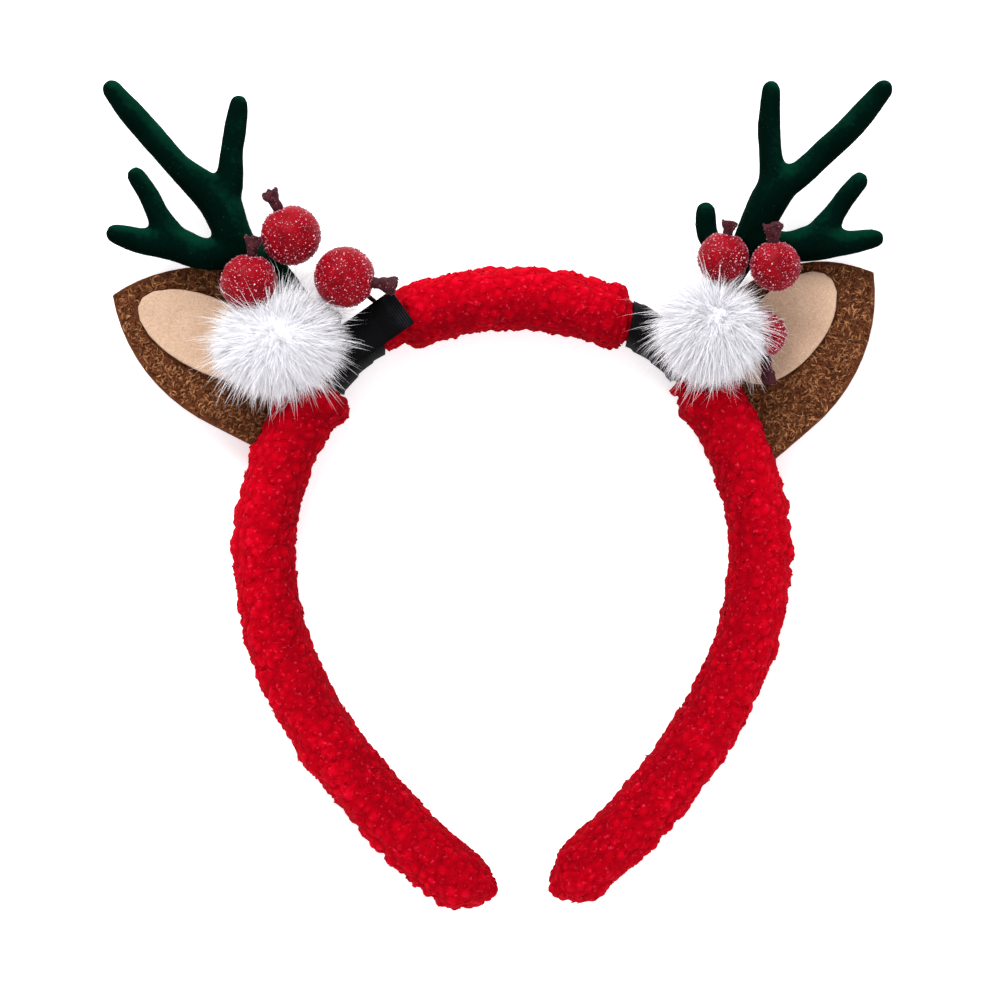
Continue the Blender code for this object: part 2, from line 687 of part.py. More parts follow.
def make_pompoms(parts, finishes):
    """Model each pompom as a head whose faces grow out into tapered locks."""
    floor = LINING_HEIGHT + LINING_THICKNESS + LOCK_CLEARANCE
    for side in SIDES:
        chance = random.Random(LOCK_SEED)
        *place, head_radius = POMPOMS[side]["head"]
        centre = Vector(place) * MM
        middle = Vector(POMPOMS[side]["middle"]) * MM
        reach = POMPOMS[side]["reach"] * MM
        balls = [(ball, radius) for ball, radius in lock_neighbours(side)
                 if (ball - centre).length < 2 * reach + radius]
        tuft = bmesh.new()
        bmesh.ops.create_icosphere(tuft, subdivisions=3, radius=head_radius * MM)
        bmesh.ops.translate(tuft, verts=tuft.verts, vec=centre)
        tuft.faces.ensure_lookup_table()
        growing = []
        for face in list(tuft.faces):
            root = face.calc_center_median()
            way = (root - centre).normalized()
            offset = root - middle
            ahead = offset.dot(way)
            outline = math.sqrt(ahead * ahead + reach * reach - offset.length_squared) - ahead
            wanted = outline * (1.0 - LOCK_VARIATION * chance.random())
            length = lock_length(root, way, wanted, balls, floor)
            if length >= LOCK_SHORTEST:
                growing.append((face, way * length))
        tips = bmesh.ops.extrude_discrete_faces(tuft, faces=[face for face, _ in growing])
        for tip, (_, growth) in zip(tips["faces"], growing):
            base = tip.calc_center_median()
            for vertex in tip.verts:
                vertex.co = base + (vertex.co - base) * LOCK_TIP_SCALE + growth
        mesh = bpy.data.meshes.new("pompom")
        tuft.to_mesh(mesh)
        tuft.free()
        add_part(f"pompom_{side}", mesh, finishes["white_fur"], parts)


def main():
    """Build the headband."""
    clear_scene()
    parts = new_collection("reindeer_antler_headband")
    guides = new_collection("guides")
    finishes = make_finishes()
    make_band(parts, guides, finishes)
    make_wraps(parts, guides, finishes)
    make_strip(parts, finishes)
    make_ears(parts, finishes)
    make_antlers(parts, guides, finishes)
    make_berries(parts, finishes)
    make_stem(parts, finishes)
    make_pompoms(parts, finishes)
    bpy.context.view_layer.update()


main()
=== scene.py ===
"""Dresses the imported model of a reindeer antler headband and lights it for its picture.

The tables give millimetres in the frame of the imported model: x runs to the right, y up to
the crown of the hoop and z out of the surface that the headband lies on.
"""

import logging
import math
from dataclasses import dataclass
from enum import Enum
from functools import cache
from typing import Callable, Iterable, Sequence

import bmesh
import bpy
import numpy as np
from mathutils import Matrix, Vector, noise
from mathutils.bvhtree import BVHTree


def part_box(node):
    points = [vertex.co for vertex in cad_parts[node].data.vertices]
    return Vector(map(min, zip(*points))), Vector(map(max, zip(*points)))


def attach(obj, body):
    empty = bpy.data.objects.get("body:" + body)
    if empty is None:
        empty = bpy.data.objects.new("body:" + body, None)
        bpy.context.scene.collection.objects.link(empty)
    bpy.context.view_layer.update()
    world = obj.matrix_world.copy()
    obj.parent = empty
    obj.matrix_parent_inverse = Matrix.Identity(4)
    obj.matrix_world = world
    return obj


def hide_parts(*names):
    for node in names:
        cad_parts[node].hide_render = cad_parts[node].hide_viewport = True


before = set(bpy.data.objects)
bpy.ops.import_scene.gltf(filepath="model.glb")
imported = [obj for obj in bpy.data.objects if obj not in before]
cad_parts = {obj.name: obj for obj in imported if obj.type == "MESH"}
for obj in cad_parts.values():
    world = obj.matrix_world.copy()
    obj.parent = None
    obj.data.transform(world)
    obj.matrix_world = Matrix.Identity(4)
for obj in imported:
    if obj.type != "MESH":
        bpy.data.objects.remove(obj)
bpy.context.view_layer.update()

MM = 0.001
LOG = logging.getLogger("headband")
NAP = "nap"
MERGE_DISTANCE = 0.002 * MM
ROUNDED = ("SUBSURF", {"levels": 2, "render_levels": 2})
# What a noise texture mostly spans, where its crests begin, and a wave texture's bands in a unit
NOISE_LOW, NOISE_HIGH = 0.3, 0.7
NOISE_CREST = 0.72
WAVE_BANDS = 3.2
# How far each seed moves the noise, and how full its lumps are
SEED_STEPS = (7.31, 3.17, 5.73)
LUMP_FULLNESS = 1.3

Pair = tuple[float, float]
Triple = tuple[float, float, float]
Colour = tuple[float, float, float, float]
Array = np.ndarray
Random = np.random.Generator
Shape = bmesh.types.BMesh
Mesh = bpy.types.Mesh
NodeTree = bpy.types.NodeTree
NodeSocket = bpy.types.NodeSocket


class Side(Enum):
    """A side of the headband as the camera sees it."""

    LEFT = -1
    RIGHT = 1

    @property
    def label(self) -> str:
        """The side's word in the names of the nodes."""
        return self.name.lower()


class Held(Enum):
    """How a sheet of cloth is held."""

    STRETCHED = "stretched"
    LAID = "laid"
    FOLDED = "folded"


# Finishes


def linear(colour: str) -> Colour:
    """Turn an sRGB hex colour into linear light.

    Args:
        colour: the colour as "#RRGGBB".

    Returns:
        Red, green, blue and an alpha of 1.
    """
    channels = [int(colour[start:start + 2], 16) / 255 for start in (1, 3, 5)]
    light = [c / 12.92 if c <= 0.04045 else ((c + 0.055) / 1.055) ** 2.4 for c in channels]
    return (*light, 1.0)


def add_node(
    tree: NodeTree, kind: str, settings: dict | None = None, links: dict | None = None
) -> bpy.types.Node:
    """Add a node with its settings and links.

    Args:
        tree: the node tree that gets it.
        kind: the node's type.
        settings: values by the name of a property or the name or number of an input. The key
            "stops" gives a colour ramp's pairs of position and colour.
        links: sockets by the name or number of the input that they feed.

    Returns:
        The new node.
    """
    node = tree.nodes.new(kind)
    for key, value in (settings or {}).items():
        if key == "stops":
            elements = node.color_ramp.elements
            while len(elements) < len(value):
                elements.new(1.0)
            for element, (position, colour) in zip(elements, value):
                element.position = position
                element.color = linear(colour)
        elif isinstance(key, int) or key in node.inputs:
            node.inputs[key].default_value = value
        else:
            setattr(node, key, value)
    for key, socket in (links or {}).items():
        tree.links.new(socket, node.inputs[key])
    return node


@dataclass(frozen=True)
class Finish:
    """A soft or mottled surface that is coloured by its nap and by fine noise.

    The nap is a number from 0 to 1, kept on the mesh's points. On many pieces it paints shade and
    light: low in the hollows and away from the light, high on the crests and toward it.
    """

    name: str
    slot: str
    hollow: str
    middle: str
    crest: str
    mottle: float = 0.8
    mottle_share: float = 0.4
    swirl: float = 0.0
    fleck: float = 0.4
    fleck_colour: str = "#FFFFFF"
    fleck_share: float = 0.0
    fleck_edge: float = 0.06
    grain: float = 0.3
    grain_height: float = 0.08
    grain_strength: float = 0.5
    roughness: float = 0.9
    specular: float = 0.3
    sheen: float = 0.0
    sheen_roughness: float = 0.5
    sheen_tint: str = "#FFFFFF"
    ior: float = 1.5
    glow: float = 0.0

    @cache
    def material(self) -> bpy.types.Material:
        """Build the finish's material the first time that a piece asks for it.

        Returns:
            The one material of this finish, with its nodes linked.
        """
        material = bpy.data.materials.new(self.name)
        material.use_nodes = True
        tree = material.node_tree
        tree.nodes.clear()
        place = add_node(tree, "ShaderNodeTexCoord")
        colour = self.colour(tree, place.outputs["Object"])
        bump = add_node(
            tree, "ShaderNodeBump",
            {"Strength": self.grain_strength, "Distance": self.grain_height * MM},
            {"Height": self.relief(tree, place)},
        )
        surface = {
            "Roughness": self.roughness, "IOR": self.ior, "Specular IOR Level": self.specular,
            "Sheen Weight": self.sheen, "Sheen Roughness": self.sheen_roughness,
            "Sheen Tint": linear(self.sheen_tint), "Emission Color": linear("#FFFFFF"),
            "Emission Strength": self.glow,
        }
        shader = add_node(
            tree, "ShaderNodeBsdfPrincipled", surface,
            {"Base Color": colour, "Normal": bump.outputs["Normal"]},
        )
        add_node(tree, "ShaderNodeOutputMaterial", None, {"Surface": shader.outputs["BSDF"]})
        return material

    def colour(self, tree: NodeTree, place: NodeSocket) -> NodeSocket:
        """Mix the colours of hollow, middle and crest, and the flecks over them.

        Args:
            tree: the material's node tree.
            place: the socket that gives the place on the piece.

        Returns:
            The socket that gives the colour.
        """
        nap = add_node(tree, "ShaderNodeAttribute", {"attribute_name": NAP})
        mottle = add_node(
            tree, "ShaderNodeTexNoise",
            {"Scale": 1 / (self.mottle * MM), "Detail": 3.0, "Distortion": self.swirl},
            {"Vector": place},
        )
        spread = add_node(
            tree, "ShaderNodeMapRange", {"From Min": NOISE_LOW, "From Max": NOISE_HIGH},
            {"Value": mottle.outputs[0]},
        )
        height = add_node(
            tree, "ShaderNodeMix", {"data_type": "FLOAT", 0: self.mottle_share},
            {2: nap.outputs["Fac"], 3: spread.outputs[0]},
        )
        stops = ((0.0, self.hollow), (0.5, self.middle), (1.0, self.crest))
        ramp = add_node(tree, "ShaderNodeValToRGB", {"stops": stops}, {"Fac": height.outputs[0]})
        if not self.fleck_share:
            return ramp.outputs["Color"]
        speck = add_node(
            tree, "ShaderNodeTexNoise", {"Scale": 1 / (self.fleck * MM), "Detail": 1.0},
            {"Vector": place},
        )
        low = NOISE_CREST - self.fleck_share
        chosen = add_node(
            tree, "ShaderNodeMapRange", {"From Min": low, "From Max": low + self.fleck_edge},
            {"Value": speck.outputs[0]},
        )
        flecked = add_node(
            tree, "ShaderNodeMix", {"data_type": "RGBA", 7: linear(self.fleck_colour)},
            {0: chosen.outputs[0], 6: ramp.outputs["Color"]},
        )
        return flecked.outputs[2]

    def relief(self, tree: NodeTree, place: bpy.types.Node) -> NodeSocket:
        """Add the fine noise that roughens the surface and return its height."""
        grain = add_node(
            tree, "ShaderNodeTexNoise", {"Scale": 1 / (self.grain * MM), "Detail": 2.0},
            {"Vector": place.outputs["Object"]},
        )
        return grain.outputs[0]


@dataclass(frozen=True)
class WovenFinish(Finish):
    """A ribbon whose threads follow its own UV map, which is in millimetres."""

    thread: float = 0.4

    def relief(self, tree: NodeTree, place: bpy.types.Node) -> NodeSocket:
        """Add the threads that cross the ribs and return their height."""
        bands = 1 / (self.thread * WAVE_BANDS)
        threads = add_node(
            tree, "ShaderNodeTexWave",
            {"bands_direction": "Y", "Scale": bands, "Distortion": 1.0},
            {"Vector": place.outputs["UV"]},
        )
        return threads.outputs["Fac"]


# Coral fleece, knitted and brushed: soft, with painted pinkish highlights on the crests of its
# curls and in small random flecks, and painted shade in its hollows
FLEECE = Finish(
    "red_coral_fleece_brushed", "red_boucle", "#76000A", "#A40010", "#CE0624",
    mottle=1.5, mottle_share=0.15, fleck=1.0, fleck_colour="#D42A44", fleck_share=0.09,
    fleck_edge=0.25, grain=0.4, grain_height=0.12, roughness=0.95, specular=0.02,
    sheen=0.05, sheen_tint="#FF2040",
)
# Polyester grosgrain, woven with a rib: near black, with a faint gloss, and a painted highlight
# along the ribs near the start of the cut end
GROSGRAIN = WovenFinish(
    "black_grosgrain_woven", "black_ribbon", "#010102", "#040405", "#1C1D22",
    mottle=2.0, mottle_share=0.15, grain_height=0.05, grain_strength=0.6,
    roughness=0.6, specular=0.06,
)
# Curled plush: chestnut curls with painted highlights on their lighter, warmer backs and painted
# shade on the dark ground between them
PLUSH = Finish(
    "brown_curled_plush", "brown_plush", "#220D08", "#66381E", "#BE885C",
    mottle=0.6, mottle_share=0.38, swirl=2.0, grain_height=0.12, roughness=0.85,
    specular=0.08, sheen=0.12, sheen_tint="#C08C64",
)
# Pressed wool felt: even beige with fine darker fibre specks
FELT = Finish(
    "beige_wool_felt_pressed", "beige_felt", "#A2826A", "#B99A82", "#C8AD95",
    mottle=0.5, mottle_share=0.7, swirl=1.5, fleck=0.35, fleck_colour="#987860",
    fleck_share=0.07, grain=0.28, grain_height=0.07, roughness=0.95, specular=0.08,
)
# Foam flocked with nylon: deep green velvet, painted lighter where it faces the light and darker
# away from it
FLOCK = Finish(
    "green_nylon_flock", "green_flock", "#000201", "#00100B", "#033524",
    mottle=1.2, mottle_share=0.12, fleck=0.7, fleck_colour="#0A2A20", fleck_share=0.01,
    grain=0.25, grain_height=0.05, specular=0.01, sheen=0.08, sheen_roughness=0.35,
    sheen_tint="#12805A",
)
# Lacquered plastic berry: deep red, dulled, and a little paler on its side toward the crown and
# near its calyx
LACQUER = Finish(
    "red_berry_lacquered", "berry_red", "#560006", "#84000E", "#980A22",
    mottle=1.6, mottle_share=0.3, grain=0.4, grain_height=0.05, roughness=0.45,
    specular=0.05, sheen=0.14, sheen_roughness=0.3, sheen_tint="#E0A0B4",
)
# Crushed clear plastic crystals: rose where the berry shows through, some near white at random as
# painted glints
FROST = Finish(
    "clear_frost_crushed", "berry_red", "#78081E", "#A8344E", "#FFD2DE",
    mottle=0.6, mottle_share=0.1, grain_height=0.01, roughness=0.25, specular=0.5,
)
# Moulded plastic calyx under thin frost: dark maroon, dry
CALYX = Finish(
    "maroon_calyx_moulded", "crown_brown", "#1E060A", "#380E16", "#5A222E",
    mottle=0.6, grain=0.4, roughness=0.7, specular=0.15,
)
# The same frost on the calyx: duller, more of the maroon shows, its painted glints pale mauve
CALYX_FROST = Finish(
    "clear_frost_on_calyx", "crown_brown", "#4A101C", "#6C303C", "#A46870",
    mottle=0.6, mottle_share=0.1, grain_height=0.01, roughness=0.4,
)
# Rabbit fur, bleached: white hairs, painted a little greyer at their roots as shade among the hairs
FUR = Finish(
    "white_rabbit_fur", "white_fur", "#E9E7EC", "#F2F1F5", "#FAFAFC",
    mottle=3.0, mottle_share=0.1, grain_height=0.01, roughness=0.7, specular=0.1,
)
# Milky acrylic table lit from below: flat, matt white
TABLE = Finish(
    "white_light_table", "white_fur", "#FFFFFF", "#FFFFFF", "#FFFFFF", grain_strength=0.0,
    specular=0.1, glow=0.35,
)


# Meshes


def opened(mesh: Mesh) -> Shape:
    """Open a mesh as a bmesh."""
    shape = bmesh.new()
    shape.from_mesh(mesh)
    return shape


def node_copy(name: str) -> Shape:
    """Copy a CAD node's mesh and merge its loose triangles."""
    shape = opened(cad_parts[name].data)
    bmesh.ops.remove_doubles(shape, verts=shape.verts[:], dist=MERGE_DISTANCE)
    return shape


def to_mesh(shape: Shape, name: str) -> Mesh:
    """Turn a bmesh into a smooth-shaded mesh and free it."""
    mesh = bpy.data.meshes.new(name)
    shape.to_mesh(mesh)
    shape.free()
    mesh.shade_smooth()
    return mesh


def modified(mesh: Mesh, *modifiers: tuple[str, dict]) -> Mesh:
    """Apply modifiers to a mesh.

    Args:
        mesh: the mesh to change.
        modifiers: each modifier's type and its settings.

    Returns:
        The changed mesh.
    """
    carrier = bpy.data.objects.new(mesh.name, mesh)
    bpy.context.scene.collection.objects.link(carrier)
    for kind, settings in modifiers:
        modifier = carrier.modifiers.new(kind.lower(), kind)
        for key, value in settings.items():
            setattr(modifier, key, value)
    graph = bpy.context.evaluated_depsgraph_get()
    result = bpy.data.meshes.new_from_object(carrier.evaluated_get(graph))
    result.name = mesh.name
    bpy.data.objects.remove(carrier)
    result.shade_smooth()
    return result


def remeshed(mesh: Mesh, voxel: float) -> Mesh:
    """Rebuild a mesh from even cells of that size in millimetres."""
    return modified(mesh, ("REMESH", {"mode": "VOXEL", "voxel_size": voxel * MM}))


def remeshed_node(name: str, voxel: float) -> Mesh:
    """Copy a CAD node's mesh, rebuilt from even cells of that size in millimetres."""
    return remeshed(to_mesh(node_copy(name), name), voxel)


def smoothed(mesh: Mesh, passes: int) -> Mesh:
    """Even out the steps that the cells leave, in so many passes."""
    shape = opened(mesh)
    for _ in range(passes):
        bmesh.ops.smooth_vert(
            shape, verts=shape.verts[:], factor=0.5,
            use_axis_x=True, use_axis_y=True, use_axis_z=True,
        )
    return to_mesh(shape, mesh.name)


def ball(radius: float, place: Triple, stretch: Triple = (1.0, 1.0, 1.0)) -> Mesh:
    """Make a ball of even triangles.

    Args:
        radius: its radius, in millimetres.
        place: its middle, in millimetres.
        stretch: how many times longer it is along x, y and z.

    Returns:
        Its mesh.
    """
    shape = bmesh.new()
    bmesh.ops.create_icosphere(shape, subdivisions=5, radius=radius * MM)
    bmesh.ops.scale(shape, verts=shape.verts[:], vec=stretch)
    bmesh.ops.translate(shape, verts=shape.verts[:], vec=Vector(place) * MM)
    return to_mesh(shape, "ball")


def points_of(mesh: Mesh) -> Array:
    """Return the mesh's points, a row each."""
    flat = np.empty(len(mesh.vertices) * 3)
    mesh.vertices.foreach_get("co", flat)
    return flat.reshape(-1, 3)


def normals_of(mesh: Mesh) -> Array:
    """Return the directions that the mesh's points face, a row each."""
    flat = np.empty(len(mesh.vertices) * 3)
    mesh.vertex_normals.foreach_get("vector", flat)
    return flat.reshape(-1, 3)


def move_points(mesh: Mesh, points: Array) -> None:
    """Give the mesh's points new places."""
    mesh.vertices.foreach_set("co", points.ravel())
    mesh.update()


def raise_points(mesh: Mesh, heights: Array) -> None:
    """Move each of the mesh's points the way it faces, by its height in millimetres."""
    move_points(mesh, points_of(mesh) + normals_of(mesh) * (heights * MM)[:, None])


def set_nap(mesh: Mesh, values: Array) -> None:
    """Keep a number from 0 to 1 on each point for the finish to read."""
    attribute = mesh.attributes.get(NAP) or mesh.attributes.new(NAP, "FLOAT", "POINT")
    attribute.data.foreach_set("value", np.clip(values, 0.0, 1.0).astype(np.float32))


def noise_places(points: Array, size: float, seed: int) -> list[Vector]:
    """Return where the points lie in a noise of that size, shifted for the seed."""
    shift = Vector([seed * step for step in SEED_STEPS])
    return [Vector(p) / (size * MM) + shift for p in points]


def smooth_noise(points: Array, size: float, seed: int) -> Array:
    """Return soft noise from -1 to 1 with waves of that size in millimetres."""
    return np.array([noise.noise(p) for p in noise_places(points, size, seed)])


def layered_noise(points: Array, *layers: tuple[float, int, float]) -> Array:
    """Add layers of soft noise, each with its size, its seed and its height."""
    return sum(smooth_noise(points, size, seed) * height for size, seed, height in layers)


def lump_noise(points: Array, size: float, seed: int) -> Array:
    """Return 1 at the top of round lumps of that size and 0 in the creases between."""
    near = [noise.voronoi(p)[0][:2] for p in noise_places(points, size, seed)]
    first, second = np.array(near).T
    share = (second - first) / np.maximum(second + first, 1e-6)
    share = np.clip(share * LUMP_FULLNESS, 0.0, 1.0)
    return share * (2 - share)


def unit(vectors: Array) -> Array:
    """Give each vector a length of 1."""
    return vectors / np.maximum(np.linalg.norm(vectors, axis=-1, keepdims=True), 1e-9)


def ease(values: Array) -> Array:
    """Return 0 below 0, 1 above 1, and an even blend between."""
    t = np.clip(values, 0.0, 1.0)
    return t * t * (3 - 2 * t)


def nudge(
    points: Array, place: Pair, spread: float, shift: Pair
) -> None:
    """Shift the points round a place softly, in place.

    Args:
        points: the points, in metres.
        place: the middle of what moves, x and y in millimetres.
        spread: how far round it the shift reaches, in millimetres.
        shift: the shift in x and y at the middle, in millimetres.
    """
    gap = np.linalg.norm(points[:, :2] / MM - np.array(place), axis=1)
    points[:, :2] += np.exp(-((gap / spread) ** 2))[:, None] * np.array(shift) * MM


def column(rng: Random, count: int, span: Pair = (0.0, 1.0)) -> Array:
    """Draw a number within a span for each of the fibres, as a column."""
    return rng.uniform(*span, size=(count, 1))


def joined(name: str, placed: Array, faces: Array, nap: Array) -> Mesh:
    """Make one mesh of many copies of a prototype.

    Args:
        name: the mesh's name.
        placed: the copies' points, as copy by point by coordinate, in metres.
        faces: the prototype's triangles.
        nap: the nap of every point.

    Returns:
        The joined mesh.
    """
    count, size = placed.shape[:2]
    numbers = faces[None] + (np.arange(count) * size)[:, None, None]
    mesh = bpy.data.meshes.new(name)
    mesh.from_pydata(placed.reshape(-1, 3).tolist(), [], numbers.reshape(-1, 3).tolist())
    set_nap(mesh, nap)
    return mesh


def prototype_arrays(shape: Shape) -> tuple[Array, Array]:
    """Return the points and triangles of a prototype, and free it."""
    bmesh.ops.triangulate(shape, faces=shape.faces[:])
    shape.verts.index_update()
    points = np.array([v.co[:] for v in shape.verts])
    faces = np.array([[v.index for v in f.verts] for f in shape.faces])
    shape.free()
    return points, faces


def fibre_prototype(sides: int, rings: int, pointed: bool) -> tuple[Array, Array]:
    """Make one straight fibre with x and y from -1 to 1 and z as the number of its ring.

    Args:
        sides: how many sides it has.
        rings: how many rings of points it has, its ends included.
        pointed: whether the last ring is one point.

    Returns:
        Its points and its triangles.
    """
    shape = bmesh.new()
    depth = rings - 1
    bmesh.ops.create_cone(
        shape, cap_ends=True, segments=sides, radius1=1.0, radius2=1.0, depth=depth,
        matrix=Matrix.Translation((0.0, 0.0, depth / 2)),
    )
    for ring in range(1, depth):
        whole = shape.verts[:] + shape.edges[:] + shape.faces[:]
        bmesh.ops.bisect_plane(shape, geom=whole, plane_co=(0, 0, ring), plane_no=(0, 0, 1))
    if pointed:
        tip = [v for v in shape.verts if v.co.z > depth - 0.5]
        bmesh.ops.pointmerge(shape, verts=tip, merge_co=(0, 0, depth))
    bmesh.ops.recalc_face_normals(shape, faces=shape.faces[:])
    return prototype_arrays(shape)


def fibres(
    name: str,
    lines: Array,
    radii: Array,
    nap: Array,
    rng: Random,
    sides: int = 3,
    pointed: bool = False,
) -> Mesh:
    """Join many fibres, each the prototype bent along its own line.

    Args:
        name: the mesh's name.
        lines: each fibre's points, as fibre by ring by coordinate, in metres.
        radii: each fibre's radius at its rings, in metres.
        nap: each fibre's nap at its rings.
        rng: the source of the fibres' turns.
        sides: how many sides a fibre has.
        pointed: whether a fibre ends in a point.

    Returns:
        The joined mesh.
    """
    count, rings = lines.shape[:2]
    points, faces = fibre_prototype(sides, rings, pointed)
    ring = np.rint(points[:, 2]).astype(int)
    along = unit(np.gradient(lines, axis=1))
    turn = rng.normal(size=(count, 1, 3))
    across = unit(turn - np.sum(turn * along, axis=2, keepdims=True) * along)
    third = np.cross(along, across)
    offset = across[:, ring] * points[:, 0, None] + third[:, ring] * points[:, 1, None]
    placed = lines[:, ring] + radii[:, ring, None] * offset
    mesh = joined(name, placed, faces, nap[:, ring].ravel())
    mesh.shade_smooth()
    return mesh


def crystals(name: str, places: Array, sizes: Array, rng: Random) -> Mesh:
    """Join many small flat-sided shards, each turned its own way.

    Args:
        name: the mesh's name.
        places: each crystal's middle, in metres.
        sizes: each crystal's width, in metres.
        rng: the source of their turns and shapes.

    Returns:
        The joined mesh.
    """
    shape = bmesh.new()
    bmesh.ops.create_cone(
        shape, cap_ends=True, segments=4, radius1=0.55, radius2=0.0, depth=0.9
    )
    points, faces = prototype_arrays(shape)
    count = len(places)
    first = unit(rng.normal(size=(count, 3)))
    second = unit(np.cross(first, rng.normal(size=(count, 3))))
    turns = np.stack([first, second, np.cross(first, second)], axis=1)
    stretched = points[None] * rng.uniform(0.55, 1.0, size=(count, 1, 3)) * sizes[:, None, None]
    placed = places[:, None] + stretched @ turns
    # The nap, drawn at random for each crystal, turns some crystals near white: painted glints
    return joined(name, placed, faces, np.repeat(rng.power(0.75, size=count), len(points)))


def surface_samples(mesh: Mesh, count: int, rng: Random) -> tuple[Array, Array]:
    """Pick points spread evenly over a mesh.

    Args:
        mesh: the mesh to pick from.
        count: how many points.
        rng: the source of the choice.

    Returns:
        The points and the directions that the surface faces there.
    """
    mesh.calc_loop_triangles()
    corners = np.empty(len(mesh.loop_triangles) * 3, dtype=np.int32)
    mesh.loop_triangles.foreach_get("vertices", corners)
    triangles = points_of(mesh)[corners.reshape(-1, 3)]
    facing = np.cross(triangles[:, 1] - triangles[:, 0], triangles[:, 2] - triangles[:, 0])
    weights = np.linalg.norm(facing, axis=1)
    chosen = rng.choice(len(weights), size=count, p=weights / weights.sum())
    a, b = rng.uniform(size=(2, count, 1))
    flip = a + b > 1
    a, b = np.where(flip, 1 - a, a), np.where(flip, 1 - b, b)
    t = triangles[chosen]
    places = t[:, 0] + a * (t[:, 1] - t[:, 0]) + b * (t[:, 2] - t[:, 0])
    return places, unit(facing[chosen])


def tree_of(shape: Shape) -> BVHTree:
    """Return a search tree of a bmesh's faces and free the bmesh."""
    tree = BVHTree.FromBMesh(shape)
    shape.free()
    return tree


def show_piece(
    name: str, mesh: Mesh, finish: Finish, stands_for: Iterable[str] = ()
) -> bpy.types.Object:
    """Put a finished mesh on the headband's one body.

    Args:
        name: the piece's name.
        mesh: its mesh, in place.
        finish: what it is made of.
        stands_for: the CAD nodes that it replaces.

    Returns:
        The piece.
    """
    mesh.name = name
    mesh.materials.clear()
    mesh.materials.append(finish.material())
    piece = bpy.data.objects.new(name, mesh)
    bpy.context.scene.collection.objects.link(piece)
    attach(piece, "root")
    if stands_for:
        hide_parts(*stands_for)
    LOG.info("%s: %d faces", name, len(mesh.polygons))
    return piece


# The hoop's line

HALF_ROUTE = (
    (0.0, 0.0), (11.8, -1.2), (23.4, -3.9), (33.5, -8.1), (43.0, -14.8), (51.3, -25.5),
    (57.4, -35.9), (61.4, -46.0), (64.0, -56.7), (64.7, -68.1), (63.4, -79.1), (60.8, -90.2),
    (56.4, -100.6), (51.0, -110.9), (43.9, -120.8), (35.6, -130.3), (26.4, -140.1),
    (17.5, -147.6), (10.2, -153.2),
)


@dataclass
class Hoop:
    """The middle line of the headband, from its crown down to a tip on each side."""

    route: Sequence[Pair] = HALF_ROUTE
    height: float = 11.0
    steps: int = 10

    def __post_init__(self) -> None:
        """Draw the smooth line through the route's points."""
        knots = np.array(self.route) * MM
        ends = (2 * knots[0] - knots[1], 2 * knots[-1] - knots[-2])
        padded = np.vstack([ends[0], knots, ends[1]])
        t = np.arange(self.steps)[:, None] / self.steps
        spans = []
        for p0, p1, p2, p3 in zip(padded, padded[1:], padded[2:], padded[3:]):
            bend = 2 * p0 - 5 * p1 + 4 * p2 - p3
            twist = 3 * p1 - p0 - 3 * p2 + p3
            spans.append(0.5 * (2 * p1 + (p2 - p0) * t + bend * t**2 + twist * t**3))
        self.line = np.vstack(spans + [knots[-1:]])
        lengths = np.linalg.norm(np.diff(self.line, axis=0), axis=1)
        self.runs = np.concatenate([[0.0], np.cumsum(lengths)])

    def place(self, side: Side, run: float) -> Vector:
        """Return the middle of the hoop at a run from the crown, in metres."""
        x, y = (np.interp(run, self.runs, self.line[:, axis]) for axis in (0, 1))
        return Vector((side.value * x, y, self.height * MM))

    def outward(self, side: Side, run: float) -> Vector:
        """Return the direction in the hoop's plane that points away from the head."""
        heading = self.place(Side.RIGHT, run + 0.5 * MM) - self.place(Side.RIGHT, run - 0.5 * MM)
        return Vector((side.value * -heading.y, heading.x, 0.0)).normalized()

    def nearest_runs(self, points: Array) -> Array:
        """Return the run of the nearest point of the hoop for each point, on either side."""
        flat = np.column_stack([np.abs(points[:, 0]), points[:, 1]])
        gaps = np.linalg.norm(flat[:, None] - self.line[None], axis=2)
        return self.runs[np.argmin(gaps, axis=1)]


HOOP = Hoop()


@dataclass(frozen=True)
class WrapSpan:
    """The run of the hoop that a wrap covers, shorter on the hoop's inner side.

    Each of the fleece's swellings beside the wrap has its run, its spread and its height.
    """

    start_slant: float
    end_slant: float
    swellings: tuple
    start: float = 30.2
    end: float = 55.3

    def ends(self, inner: float | Array) -> tuple:
        """Return the wrap's first and last run, a share of the way to the inner side."""
        return self.start + self.start_slant * inner, self.end - self.end_slant * inner

    def length(self) -> float:
        """Return the wrap's mean length."""
        first, last = self.ends(0.5)
        return last - first


WRAPS = {
    Side.LEFT: WrapSpan(7.5, 0.0, ((27.0, 3.2, 1.0), (34.0, 4.2, 1.7), (59.0, 5.5, 1.9))),
    Side.RIGHT: WrapSpan(3.0, 4.5, ((29.5, 3.4, 2.2), (53.5, 3.4, 2.5), (59.5, 5.0, 1.2))),
}


